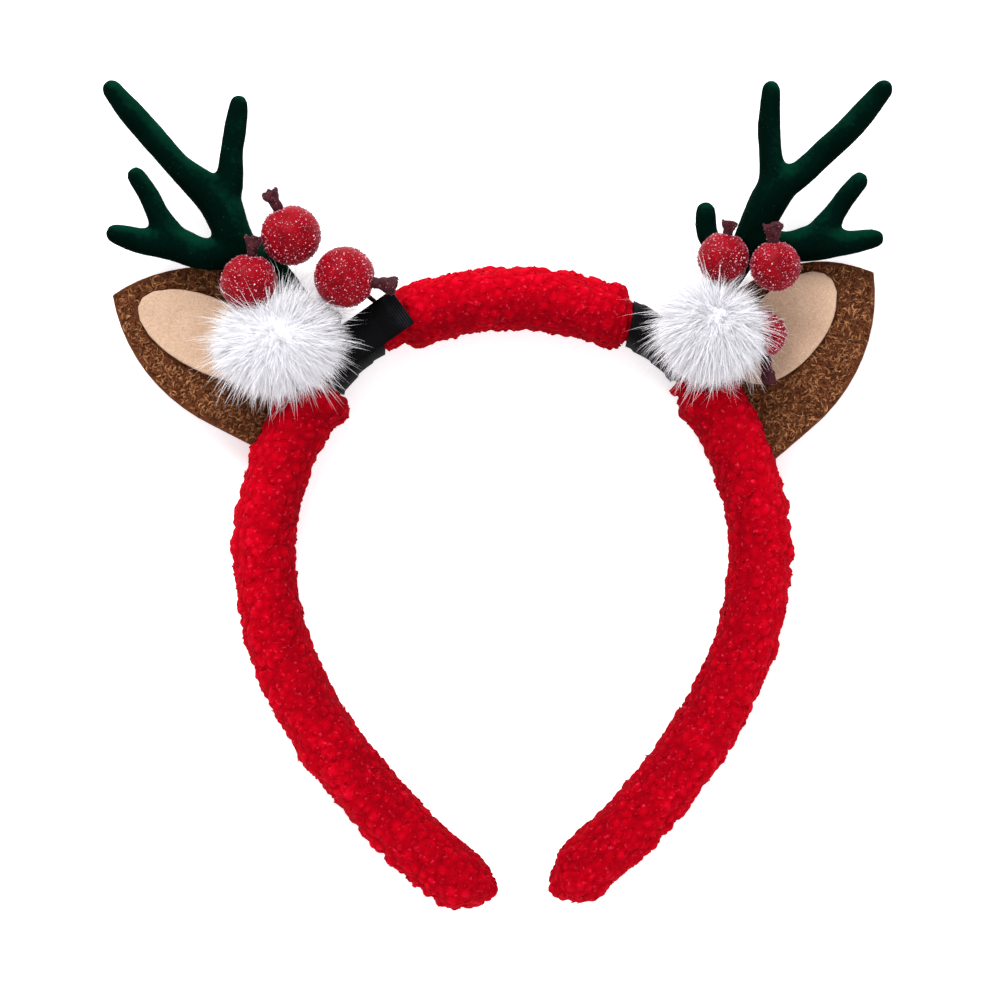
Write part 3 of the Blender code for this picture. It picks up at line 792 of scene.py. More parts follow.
@dataclass
class FleeceBand:
    """The padded red hoop: a swollen core under a nap of small curls.

    The nap paints light and shade. It adds a base to shares of the outer side (painted light
    outside, painted shade on the inner side), the bumps and the lumps (painted highlights on their
    tops, painted shade in the creases), and soft clouds. The ribbon holds the fleece down to a
    share of its rise, and the swellings lose height outwards.
    """

    sunk: float = 0.05
    lowest: float = 0.05
    voxel: float = 2.8
    pressure: float = 4.0
    frames: int = 20
    cap: float = 0.8
    lump: float = 7.5
    lump_middle: float = 0.45
    lump_height: float = 1.25
    inner_share: float = 0.45
    bump: float = 2.7
    bump_middle: float = 0.5
    bump_height: float = 0.62
    cloud: float = 9.0
    # The nap's shares: a base, painted light on the outer side, painted highlights on the bumps'
    # and the lumps' tops, and random soft clouds
    nap: tuple = (0.22, 0.36, 0.5, 0.15, 0.12)
    swelling_loss: float = 0.7
    held: float = 0.1
    held_beside: float = 1.0
    centre: Pair = (0.0, -68.0)
    facing_share: float = 0.6
    tip_run: float = 150.0
    tip_blend: float = 25.0
    tip_shift: Pair = (0.55, -0.6)
    nudges: tuple = (
        ((-10.5, -159.0), 4.5, (-0.2, 1.2)),
        ((-5.0, -153.8), 2.6, (0.9, -0.2)),
        ((8.6, -147.4), 4.5, (1.6, -0.2)),
        ((9.6, -154.0), 3.0, (-0.3, -0.7)),
    )
    curls: int = 2600
    curl_rings: int = 5
    curl_length: Pair = (0.9, 2.0)
    curl_bend: Pair = (-1.6, 1.6)
    curl_lift: Pair = (0.05, 0.28)
    curl_sink: float = 0.06
    curl_radius: Pair = (0.16, 0.26)
    curl_nap: Pair = (-0.08, 0.3)
    curl_base: float = 0.2
    curl_lowest: float = 0.35
    bare_below: float = 0.9
    bare_beside: float = 0.8
    fill: float = 0.85
    seed: int = 11

    def build(self) -> None:
        """Build the core and its curls."""
        core = self.core()
        piece = show_piece("band_fleece", core, FLEECE, ["red_band"])
        for side in Side:
            show_piece(f"band_curls_{side.label}", self.curl_mesh(core, side), FLEECE)

    def core(self) -> Mesh:
        """Swell the hoop's tube and give it its lumps and bumps.

        Returns:
            The core's mesh, with its nap.
        """
        mesh = remeshed_node("red_band", self.voxel)
        points = points_of(mesh) - normals_of(mesh) * self.sunk * MM
        move_points(mesh, points)
        mesh = self.swollen(mesh)
        mesh = modified(mesh, ROUNDED)
        points = points_of(mesh)
        facing = normals_of(mesh)
        runs = HOOP.nearest_runs(points) / MM
        away = self.outer_share(facing, points)
        lumps = lump_noise(points, self.lump, self.seed) - self.lump_middle
        bumps = lump_noise(points, self.bump, self.seed) - self.bump_middle
        rise = lumps * self.lump_height * (self.inner_share + (1 - self.inner_share) * away)
        rise += bumps * self.bump_height
        for side, span in WRAPS.items():
            here = np.sign(points[:, 0]) == side.value
            for run, spread, height in span.swellings:
                swell = height * (1 - self.swelling_loss * away)
                rise += here * swell * np.exp(-(((runs - run) / spread) ** 2))
            first, last = span.ends(1 - away)
            beside = np.maximum(first - runs, runs - last) - self.held_beside
            clear = self.held + (1 - self.held) * ease(beside)
            rise *= np.where(here, clear, 1.0)
        points += facing * (rise * MM)[:, None]
        near_tip = ease((runs - self.tip_run) / self.tip_blend)
        points[:, :2] += near_tip[:, None] * np.array(self.tip_shift) * MM
        for place, spread, shift in self.nudges:
            nudge(points, place, spread, shift)
        points[:, 2] = np.maximum(points[:, 2], self.lowest * MM)
        move_points(mesh, points)
        soft = smooth_noise(points, self.cloud, self.seed)
        # Painted light and shade: lighter on the hoop's outer side and on the tops of bumps and
        # lumps, darker on the inner side and in the creases
        base, outer, bumpy, lumpy, cloudy = self.nap
        set_nap(mesh, base + outer * away + bumpy * bumps + lumpy * lumps + cloudy * soft)
        return mesh

    def outer_share(self, facing: Array, points: Array) -> Array:
        """Return 1 on the outside of the hoop and 0 on its inside, by the way the surface faces."""
        away = unit(points[:, :2] - np.array(self.centre) * MM)
        return ease(0.5 + self.facing_share * np.sum(facing[:, :2] * away, axis=1))

    def swollen(self, mesh: Mesh) -> Mesh:
        """Fill the tube with pressure and let its cloth settle.

        Args:
            mesh: the slack tube.

        Returns:
            The swollen tube, no point moved further than the cap.
        """
        scene = bpy.context.scene
        carrier = bpy.data.objects.new("band_slack", mesh)
        scene.collection.objects.link(carrier)
        cloth = carrier.modifiers.new("cloth", "CLOTH")
        cloth.settings.use_pressure = True
        cloth.settings.uniform_pressure_force = self.pressure
        cloth.settings.effector_weights.gravity = 0.0
        cloth.point_cache.frame_start = 1
        cloth.point_cache.frame_end = self.frames
        for number in range(1, self.frames + 1):
            scene.frame_set(number)
        graph = bpy.context.evaluated_depsgraph_get()
        result = bpy.data.meshes.new_from_object(carrier.evaluated_get(graph))
        bpy.data.objects.remove(carrier)
        scene.frame_set(1)
        start = points_of(mesh)
        moved = points_of(result) - start
        far = np.linalg.norm(moved, axis=1, keepdims=True)
        share = np.minimum(1.0, self.cap * MM / np.maximum(far, 1e-9))
        move_points(result, start + moved * share)
        return result

    def curl_mesh(self, core: Mesh, side: Side) -> Mesh:
        """Lay short bent tufts of yarn all over one half of the hoop.

        Args:
            core: the mesh that the tufts lie on.
            side: the half that gets them.

        Returns:
            The joined tufts.
        """
        rng = np.random.default_rng(self.seed + side.value)
        places, facing = surface_samples(core, self.curls, rng)
        runs = HOOP.nearest_runs(places) / MM
        first, last = WRAPS[side].ends(1 - self.outer_share(facing, places))
        hidden = (runs > first - self.bare_beside) & (runs < last + self.bare_beside)
        low = places[:, 2] <= self.bare_below * MM
        keep = (np.sign(places[:, 0]) == side.value) & ~hidden & ~low
        places, facing = places[keep], facing[keep]
        count = len(places)
        along = unit(np.cross(facing, rng.normal(size=(count, 3))))
        beside = np.cross(facing, along)
        length = column(rng, count, self.curl_length) * MM
        bend = column(rng, count, self.curl_bend)
        t = np.linspace(-0.5, 0.5, self.curl_rings)[None]
        forward, sideways = length * t, length * bend * (t**2 - 0.08)
        arch = np.cos(math.pi * t)
        lift = column(rng, count, self.curl_lift) * MM * arch - self.curl_sink * MM
        lines = places[:, None]
        for way, step in ((along, forward), (beside, sideways), (facing, lift)):
            lines = lines + way[:, None] * step[:, :, None]
        lines[:, :, 2] = np.maximum(lines[:, :, 2], self.curl_lowest * MM)
        radii = column(rng, count, self.curl_radius) * MM * (0.55 + 0.45 * arch)
        away = self.outer_share(facing, places)[:, None]
        # The curls are painted lighter on the hoop's outer side and darker on its inner side:
        # painted light and shade
        nap = self.curl_base + self.nap[1] * away + column(rng, count, self.curl_nap) * arch
        return fibres(f"band_curls_{side.label}", lines, radii, nap, rng)


def grid_sheet(
    columns: int, rows: int, shape_at: Callable[[float, float], Vector], size: Pair
) -> Shape:
    """Bend a grid into a sheet whose UV map is in millimetres.

    Args:
        columns: how many faces it has along u.
        rows: how many faces it has along v.
        shape_at: gives the place for u and v from 0 to 1.
        size: the sheet's flat size along u and v, in millimetres.

    Returns:
        The bent grid.
    """
    sheet = bmesh.new()
    bmesh.ops.create_grid(sheet, x_segments=columns, y_segments=rows, size=0.5)
    layer = sheet.loops.layers.uv.new("UVMap")
    for face in sheet.faces:
        for loop in face.loops:
            u, v = loop.vert.co.x + 0.5, loop.vert.co.y + 0.5
            loop[layer].uv = (u * size[0], v * size[1])
    for vert in sheet.verts:
        vert.co = shape_at(vert.co.x + 0.5, vert.co.y + 0.5)
    return sheet


@dataclass
class RibbonWrap:
    """The ribbon wound round the hoop, turn over turn, where the ornaments are tied on.

    Each turn rises by the step over a share of the turn and falls back over the rest.
    """

    side: Side
    half_width: float = 6.15
    half_depth: float = 8.2
    wall: float = 0.9
    pitch: float = 6.4
    step: float = 0.38
    step_share: float = 0.12
    rib_count: int = 58
    rib_height: float = 0.05
    rib_columns: int = 3
    rows: int = 40

    def build(self) -> None:
        """Wind the ribbon and give it its wall."""
        around = math.pi * (self.half_width + self.half_depth)
        length = WRAPS[self.side].length()
        columns = self.rib_columns * self.rib_count
        sleeve = grid_sheet(columns, self.rows, self.surface, (around, length))
        bmesh.ops.remove_doubles(sleeve, verts=sleeve.verts[:], dist=MERGE_DISTANCE)
        bmesh.ops.recalc_face_normals(sleeve, faces=sleeve.faces[:])
        mesh = to_mesh(sleeve, "wrap")
        mesh = modified(mesh, ("SOLIDIFY", {"thickness": self.wall * MM, "offset": -1.0}))
        set_nap(mesh, 0.2 + 0.3 * smooth_noise(points_of(mesh), 4.0, 3))
        name = f"ribbon_wound_{self.side.label}"
        piece = show_piece(name, mesh, GROSGRAIN, [f"ribbon_wrap_{self.side.label}"])

    def surface(self, u: float, v: float) -> Vector:
        """Place a point of the wound ribbon.

        Args:
            u: its share of the way round the hoop.
            v: its share of the way along the wrap.

        Returns:
            The point, in metres.
        """
        angle = 2 * math.pi * u
        first, last = WRAPS[self.side].ends(0.5 - 0.5 * math.cos(angle))
        run = (first + (last - first) * v) * MM
        turn = (run / MM / self.pitch + u) % 1.0
        if turn < self.step_share:
            edge = turn / self.step_share
        else:
            edge = 1 - (turn - self.step_share) / (1 - self.step_share)
        rib = math.cos(angle * self.rib_count) * self.rib_height
        rise = self.step * (edge - 1.0) + rib - self.rib_height
        outward = HOOP.outward(self.side, run) * (self.half_width + rise) * math.cos(angle)
        upward = Vector((0.0, 0.0, (self.half_depth + rise) * math.sin(angle)))
        return HOOP.place(self.side, run) + (outward + upward) * MM


@dataclass
class RibbonEnd:
    """The flat cut end of the ribbon, which lies over the front of the left wrap.

    The profile gives its height along it. Its ribs near its start get a painted highlight, paler on
    their crests.
    """

    start: Pair = (-28.2, -2.7)
    heading: Pair = (-0.821, -0.571)
    width: float = 10.4
    length: float = 20.5
    thickness: float = 0.8
    crowning: float = 0.02
    lean: float = 3.4
    rib: float = 0.64
    rib_height: float = 0.065
    rib_columns: int = 6
    rows: int = 14
    lit: float = 9.0
    lit_ribs: Pair = (0.5, 0.35)
    profile: tuple = ((0.0, 23.6), (3.5, 23.2), (8.0, 21.2), (12.0, 20.5), (20.5, 20.4))

    def build(self) -> None:
        """Cut the ribbon and lay it over the wrap."""
        columns = self.rib_columns * round(self.length / self.rib)
        sheet = grid_sheet(columns, self.rows, self.surface, (self.length, self.width))
        mesh = to_mesh(sheet, "ribbon_cut_end")
        mesh = modified(mesh, ("SOLIDIFY", {"thickness": self.thickness * MM, "offset": 0.0}))
        points = points_of(mesh)
        runs = (points[:, :2] / MM - np.array(self.start)) @ np.array(self.heading)
        # Painted highlight: the nap rises on the rib crests and fades out over the first lit
        # millimetres
        level, crest = self.lit_ribs
        lit = level + crest * np.cos(2 * math.pi * runs / self.rib)
        lit *= ease(1 - runs / self.lit)
        set_nap(mesh, 0.15 + 1.1 * lit + 0.2 * smooth_noise(points, 2.0, 5))
        piece = show_piece("ribbon_cut_end", mesh, GROSGRAIN, ["ribbon_strip"])

    def surface(self, u: float, v: float) -> Vector:
        """Place a point of the cut end.

        Args:
            u: its share of the way along the ribbon.
            v: its share of the way across it.

        Returns:
            The point, in metres.
        """
        run = self.length * u
        across = self.width * (v - 0.5)
        heading = Vector(self.heading).normalized()
        outward = Vector((heading.y, -heading.x))
        place = Vector(self.start) + heading * run + outward * across
        runs, heights = zip(*self.profile)
        height = float(np.interp(run, runs, heights))
        height += self.rib_height * math.cos(2 * math.pi * run / self.rib)
        height -= self.crowning * (across + self.lean) ** 2
        return Vector((place.x, place.y, height)) * MM


@dataclass
class Ear:
    """A plush ear with its felt lining.

    The base and the heading give the ear's middle line, and the reach is its length. Each of
    the felt's waves has its size, its seed and its height, and the pairs are ranges.
    """

    side: Side
    base: Pair
    heading: Pair
    outer_area: float
    inner_area: float
    inner_length: float
    reach: float = 46.8
    tuck: float = 1.7
    voxel: float = 0.55
    relief: float = 0.5
    lump: float = 1.8
    lump_middle: float = 0.8
    front: Pair = (0.75, 0.95)
    front_least: float = 0.6
    felt_voxel: float = 0.42
    felt_waves: tuple = ((0.9, 31, 0.05), (6.0, 2, 0.1))
    felt_cloud: float = 5.0
    curls: int = 7600
    rings: int = 7
    whirl: float = 4.0
    turn: float = 0.7
    bend: Pair = (0.5, 1.5)
    length: Pair = (1.8, 3.8)
    lift: Pair = (0.05, 0.6)
    thick: Pair = (0.16, 0.34)
    sink: float = 0.12
    edge: float = 0.35
    rim_place: Pair = (80.0, 8.8)
    rim_spread: float = 9.0
    rim_shift: Pair = (0.0, 0.5)
    seed: int = 31

    def build(self) -> None:
        """Build the outer ear, its curls and its lining."""
        label = self.side.label
        outer = self.outer_mesh()
        lining = self.lining_mesh()
        base = show_piece(f"ear_plush_{label}", outer, PLUSH, [f"ear_outer_{label}"])
        curls = show_piece(f"ear_curls_{label}", self.curl_mesh(outer, lining), PLUSH)
        felt = show_piece(f"ear_felt_{label}", lining, FELT, [f"ear_inner_{label}"])

    def outer_mesh(self) -> Mesh:
        """Round the sheet's edges, give its faces a low relief and tuck its base in.

        Returns:
            The outer ear's mesh, with its nap.
        """
        mesh = remeshed_node(f"ear_outer_{self.side.label}", self.voxel)
        points = points_of(mesh)
        lumps = lump_noise(points, self.lump, self.seed)
        facing = normals_of(mesh)
        low, high = self.front
        flat = ease((np.abs(facing[:, 2]) - low) / (high - low))
        points += facing * ((lumps - self.lump_middle) * self.relief * flat * MM)[:, None]
        # On the flat faces the nap paints highlights on the tops of the lumps and shade between
        # them
        set_nap(mesh, 0.05 + 0.3 * lumps * flat + 0.25 * (1 - flat))
        along = (points[:, :2] / MM - np.array(self.base)) @ np.array(self.heading)
        tucked = self.tuck * MM * np.clip(1 - along / self.reach, 0.0, 1.0) ** 2
        points[:, :2] -= tucked[:, None] * np.array(self.heading)
        rim = (self.side.value * self.rim_place[0], self.rim_place[1])
        nudge(points, rim, self.rim_spread, self.rim_shift)
        move_points(mesh, points)
        return mesh

    def lining_mesh(self) -> Mesh:
        """Soften the felt's cut edge and its surface.

        Returns:
            The felt's mesh, with its nap.
        """
        mesh = smoothed(remeshed_node(f"ear_inner_{self.side.label}", self.felt_voxel), 2)
        points = points_of(mesh)
        raise_points(mesh, layered_noise(points, *self.felt_waves))
        set_nap(mesh, 0.5 + 0.4 * smooth_noise(points, self.felt_cloud, self.seed))
        return mesh

    def curl_mesh(self, outer: Mesh, lining: Mesh) -> Mesh:
        """Lay curls over the front of the ear, round its lining.

        Args:
            outer: the ear's own mesh.
            lining: the felt's mesh, under which no curl goes.

        Returns:
            The joined curls.
        """
        rng = np.random.default_rng(self.seed + self.side.value)
        places, facing = surface_samples(outer, self.curls, rng)
        places = places[facing[:, 2] > self.front_least]
        count = len(places)
        flow = smooth_noise(places, self.whirl, self.seed) * 2 * math.pi
        angle = flow + rng.normal(0.0, self.turn, size=count)
        bend = rng.uniform(*self.bend, size=count) * rng.choice([-1, 1], size=count)
        length = rng.uniform(*self.length, size=count) * MM
        t = np.linspace(0.0, 1.0, self.rings)
        turned = angle[:, None] + bend[:, None] * math.pi * (t[None] - 0.5)
        step = (length / (self.rings - 1))[:, None]
        flat = np.stack([np.cumsum(way(turned) * step, 1) for way in (np.cos, np.sin)], 2)
        flat += places[:, None, :2] - flat.mean(axis=1, keepdims=True)
        lines, keep = self.laid(flat, outer, lining)
        arch = np.sin(math.pi * t)[None]
        lines[:, :, 2] += column(rng, count, self.lift) * arch * MM
        body = column(rng, count, self.thick) * (0.45 + 0.55 * arch)
        # Painted highlight on each curl's raised middle, painted shade toward its sunk ends
        nap = rng.power(1.3, size=(count, 1)) * (0.3 + 0.7 * arch)
        return fibres("ear_curls", lines[keep], (body * MM)[keep], nap[keep], rng)

    def laid(self, flat: Array, outer: Mesh, lining: Mesh) -> tuple[Array, Array]:
        """Lay flat lines on the ear's front.

        Args:
            flat: the lines' places in x and y.
            outer: the ear's mesh.
            lining: the felt's mesh.

        Returns:
            The lines on the surface, and which of them lie wholly on bare plush.
        """
        ground, felt = tree_of(opened(outer)), tree_of(opened(lining))

        def under(tree: BVHTree, place: Array) -> Vector | None:
            """Return the highest point of a piece under a place, or None."""
            return tree.ray_cast(Vector((*place, 0.03)), Vector((0.0, 0.0, -1.0)))[0]

        lines = np.zeros((*flat.shape[:2], 3))
        keep = np.ones(len(flat), dtype=bool)
        for number, line in enumerate(flat):
            middle = line.mean(axis=0)
            for ring, place in enumerate(line):
                way = place - middle
                reach = place + way * (self.edge * MM / max(1e-9, np.linalg.norm(way)))
                hit = under(ground, place)
                if hit is None or under(ground, reach) is None or under(felt, place) is not None:
                    keep[number] = False
                    break
                lines[number, ring] = (*place, hit.z - self.sink * MM)
        return lines, keep


EARS = (
    Ear(
        Side.LEFT, base=(-61.7, -19.2), heading=(-0.904, 0.427), outer_area=1500.0,
        inner_area=621.0, inner_length=41.6,
    ),
    Ear(
        Side.RIGHT, base=(58.2, -23.2), heading=(0.768, 0.640), outer_area=1408.0,
        inner_area=522.0, inner_length=35.0,
    ),
)


@dataclass
class Antler:
    """A flocked antler whose branches run into each other in soft webs.

    The flock is painted lighter where it faces the crown's light and darker away from it: the nap
    is a level, what it gains toward the light, what it loses away from it, and its unevenness. Each
    of the waves has its size, its seed and its height, and each of the nudges its place, its spread
    and its shift.
    """

    side: Side
    nudges: tuple
    web: float = 0.25
    regain: float = 0.35
    voxel: float = 0.7
    waves: tuple = ((5.0, 51, 0.12), (1.4, 7, 0.04))
    cloud: float = 6.0
    nap: tuple = (0.36, 0.55, 0.3, 0.16)
    toward_light: Triple = (0.25, 0.95, 0.1)
    seed: int = 51

    def build(self) -> None:
        """Round the forks and give the flock its faint unevenness."""
        label = self.side.label
        mesh = remeshed_node(f"antler_{label}", self.voxel)
        move_points(mesh, points_of(mesh) + normals_of(mesh) * self.web * MM)
        mesh = remeshed(mesh, self.voxel)
        mesh = smoothed(mesh, 3)
        move_points(mesh, points_of(mesh) - normals_of(mesh) * (self.web - self.regain) * MM)
        mesh = smoothed(mesh, 1)
        points, facing = points_of(mesh), normals_of(mesh)
        uneven = layered_noise(points, *self.waves)
        lit = facing @ np.array(self.toward_light)
        soft = smooth_noise(points, self.cloud, self.seed)
        points += facing * (uneven * MM)[:, None]
        for place, spread, shift in self.nudges:
            nudge(points, place, spread, shift)
        move_points(mesh, points)
        # Painted light and shade: the nap rises toward the light and falls away from it
        level, gain, loss, cloudy = self.nap
        set_nap(mesh, level + np.where(lit > 0, gain, loss) * lit + cloudy * soft)
        show_piece(f"antler_flocked_{label}", mesh, FLOCK, [f"antler_{label}"])


ANTLERS = (
    Antler(Side.LEFT, (((-71.4, 26.1), 5.0, (1.0, 0.3)), ((-79.8, 8.3), 8.0, (0.0, -0.9)))),
    Antler(Side.RIGHT, (((78.8, 10.1), 7.0, (0.0, -0.8)),)),
)


@dataclass
class Berry:
    """A frosted berry with its calyx.

    The crown's profile gives shares of its length and of its radius, from its foot up.
    """

    name: str
    place: Triple
    radius: float
    crown_way: Triple
    crown_length: float
    crown_radius: float
    seed: int
    lacquer: float = 0.25
    dimple: float = 0.5
    crystals: int = 1900
    crystal_stand: float = 0.22
    crown_sunk: float = 0.9
    crown_crystals: int = 190
    crown_sides: int = 10
    crown_profile: tuple = ((0.0, 0.62), (0.3, 0.7), (0.6, 0.95), (0.85, 1.2), (1.0, 1.05))
    notch: Pair = (-0.85, 0.75)
    ragged: float = 0.5
    cup_wall: float = 0.5
    cup_depth: float = 0.9
    crumpled: float = 0.55

    def build(self) -> None:
        """Build the berry, its frost and its calyx."""
        berry = self.berry_mesh()
        show_piece(f"berry_ball_{self.name}", berry, LACQUER, [f"berry_{self.name}"])
        show_piece(f"berry_frost_{self.name}", self.frost_mesh(berry, self.crystals), FROST)
        calyx = self.calyx_mesh()
        show_piece(f"calyx_{self.name}", calyx, CALYX, [f"berry_crown_{self.name}"])
        frost = self.frost_mesh(calyx, self.crown_crystals, 0.8)
        show_piece(f"calyx_frost_{self.name}", frost, CALYX_FROST)

    def berry_mesh(self) -> Mesh:
        """Round the berry and dent it where the calyx sits.

        Returns:
            The berry's mesh, with the nap high where it is paler.
        """
        mesh = ball(self.radius - self.lacquer, self.place)
        points, facing = points_of(mesh), normals_of(mesh)
        toward = facing @ np.array(Vector(self.crown_way).normalized())
        dent = ease((toward - 0.9) / 0.1) * self.dimple
        raise_points(mesh, layered_noise(points, (5.0, self.seed, 0.1), (1.0, 2, 0.03)) - dent)
        # The nap is higher on the side toward the crown (+y), near the calyx and in soft patches
        high = ease(0.5 + 0.5 * facing[:, 1])
        patches = smooth_noise(points, 3.0, 4)
        set_nap(mesh, 0.2 + 0.2 * high + 0.2 * ease(toward) + 0.35 * patches)
        return mesh

    def frost_mesh(self, mesh: Mesh, count: int, scale: float = 1.0) -> Mesh:
        """Scatter crystals over a mesh, half sunk in it.

        Args:
            mesh: the berry or the calyx.
            count: how many crystals.
            scale: how large they are beside those of a berry.

        Returns:
            The joined crystals.
        """
        rng = np.random.default_rng(self.seed + count)
        places, facing = surface_samples(mesh, count, rng)
        sizes = (0.2 + 0.4 * rng.power(0.35, size=count)) * MM * scale
        middles = places + facing * (sizes * self.crystal_stand)[:, None]
        return crystals("frost", middles, sizes, rng)

    def calyx_mesh(self) -> Mesh:
        """Raise the calyx ring by ring, flared and ragged at its rim.

        Returns:
            The calyx's mesh, with its nap.
        """
        rng = np.random.default_rng(self.seed)
        rings = [(height, share * self.crown_radius) for height, share in self.crown_profile]
        length = self.crown_length + self.crown_sunk
        shape = bmesh.new()
        bmesh.ops.create_circle(shape, cap_ends=True, segments=self.crown_sides, radius=rings[0][1])
        shape.faces.ensure_lookup_table()
        face = shape.faces[0]
        for (low, small), (high, large) in zip(rings, rings[1:]):
            face = bmesh.ops.extrude_discrete_faces(shape, faces=[face])["faces"][0]
            growth = large / small
            bmesh.ops.scale(shape, verts=face.verts[:], vec=(growth, growth, 1.0))
            lift = Vector((0.0, 0.0, (high - low) * length))
            bmesh.ops.translate(shape, verts=face.verts[:], vec=lift)
        for number, vert in enumerate(face.verts):
            vert.co.z += self.notch[number % 2] + rng.uniform(-self.ragged, self.ragged)
        bmesh.ops.inset_individual(
            shape, faces=[face], thickness=self.cup_wall, depth=-self.cup_depth
        )
        bmesh.ops.recalc_face_normals(shape, faces=shape.faces[:])
        turn = Vector(self.crown_way).to_track_quat("Z", "Y").to_matrix().to_4x4()
        height = self.radius - self.crown_sunk
        start = Vector(self.place) + Vector(self.crown_way).normalized() * height
        bmesh.ops.transform(shape, verts=shape.verts[:], matrix=Matrix.Translation(start) @ turn)
        bmesh.ops.scale(shape, verts=shape.verts[:], vec=(MM, MM, MM))
        mesh = to_mesh(shape, "calyx")
        mesh = modified(mesh, ROUNDED)
        crumple = smooth_noise(points_of(mesh), 1.4, self.seed)
        raise_points(mesh, crumple * self.crumpled)
        # Painted light on the crumpled calyx's bulges and painted shade in its dents
        set_nap(mesh, 0.4 + 0.6 * crumple)
        return mesh


BERRIES = (
    Berry("left_top", (-57.0, 15.7, 23.8), 7.9, (-0.44, 0.9, 0.1), 5.0, 2.0, 61),
    Berry("left_outer", (-67.7, 3.5, 25.8), 7.5, (0.1, 1.0, 0.1), 4.5, 2.1, 62),
    Berry("left_inner", (-43.1, 4.8, 26.0), 8.05, (0.97, -0.18, 0.12), 5.9, 2.2, 63),
    Berry("right_inner", (54.3, 9.8, 25.2), 6.75, (0.18, 0.98, 0.1), 3.2, 2.1, 64),
    Berry("right_outer", (67.6, 7.6, 27.8), 6.65, (-0.07, 1.0, 0.1), 4.8, 2.4, 65),
    Berry("right_low", (64.9, -9.6, 18.6), 6.2, (0.11, -0.99, 0.1), 7.2, 1.9, 66),
)


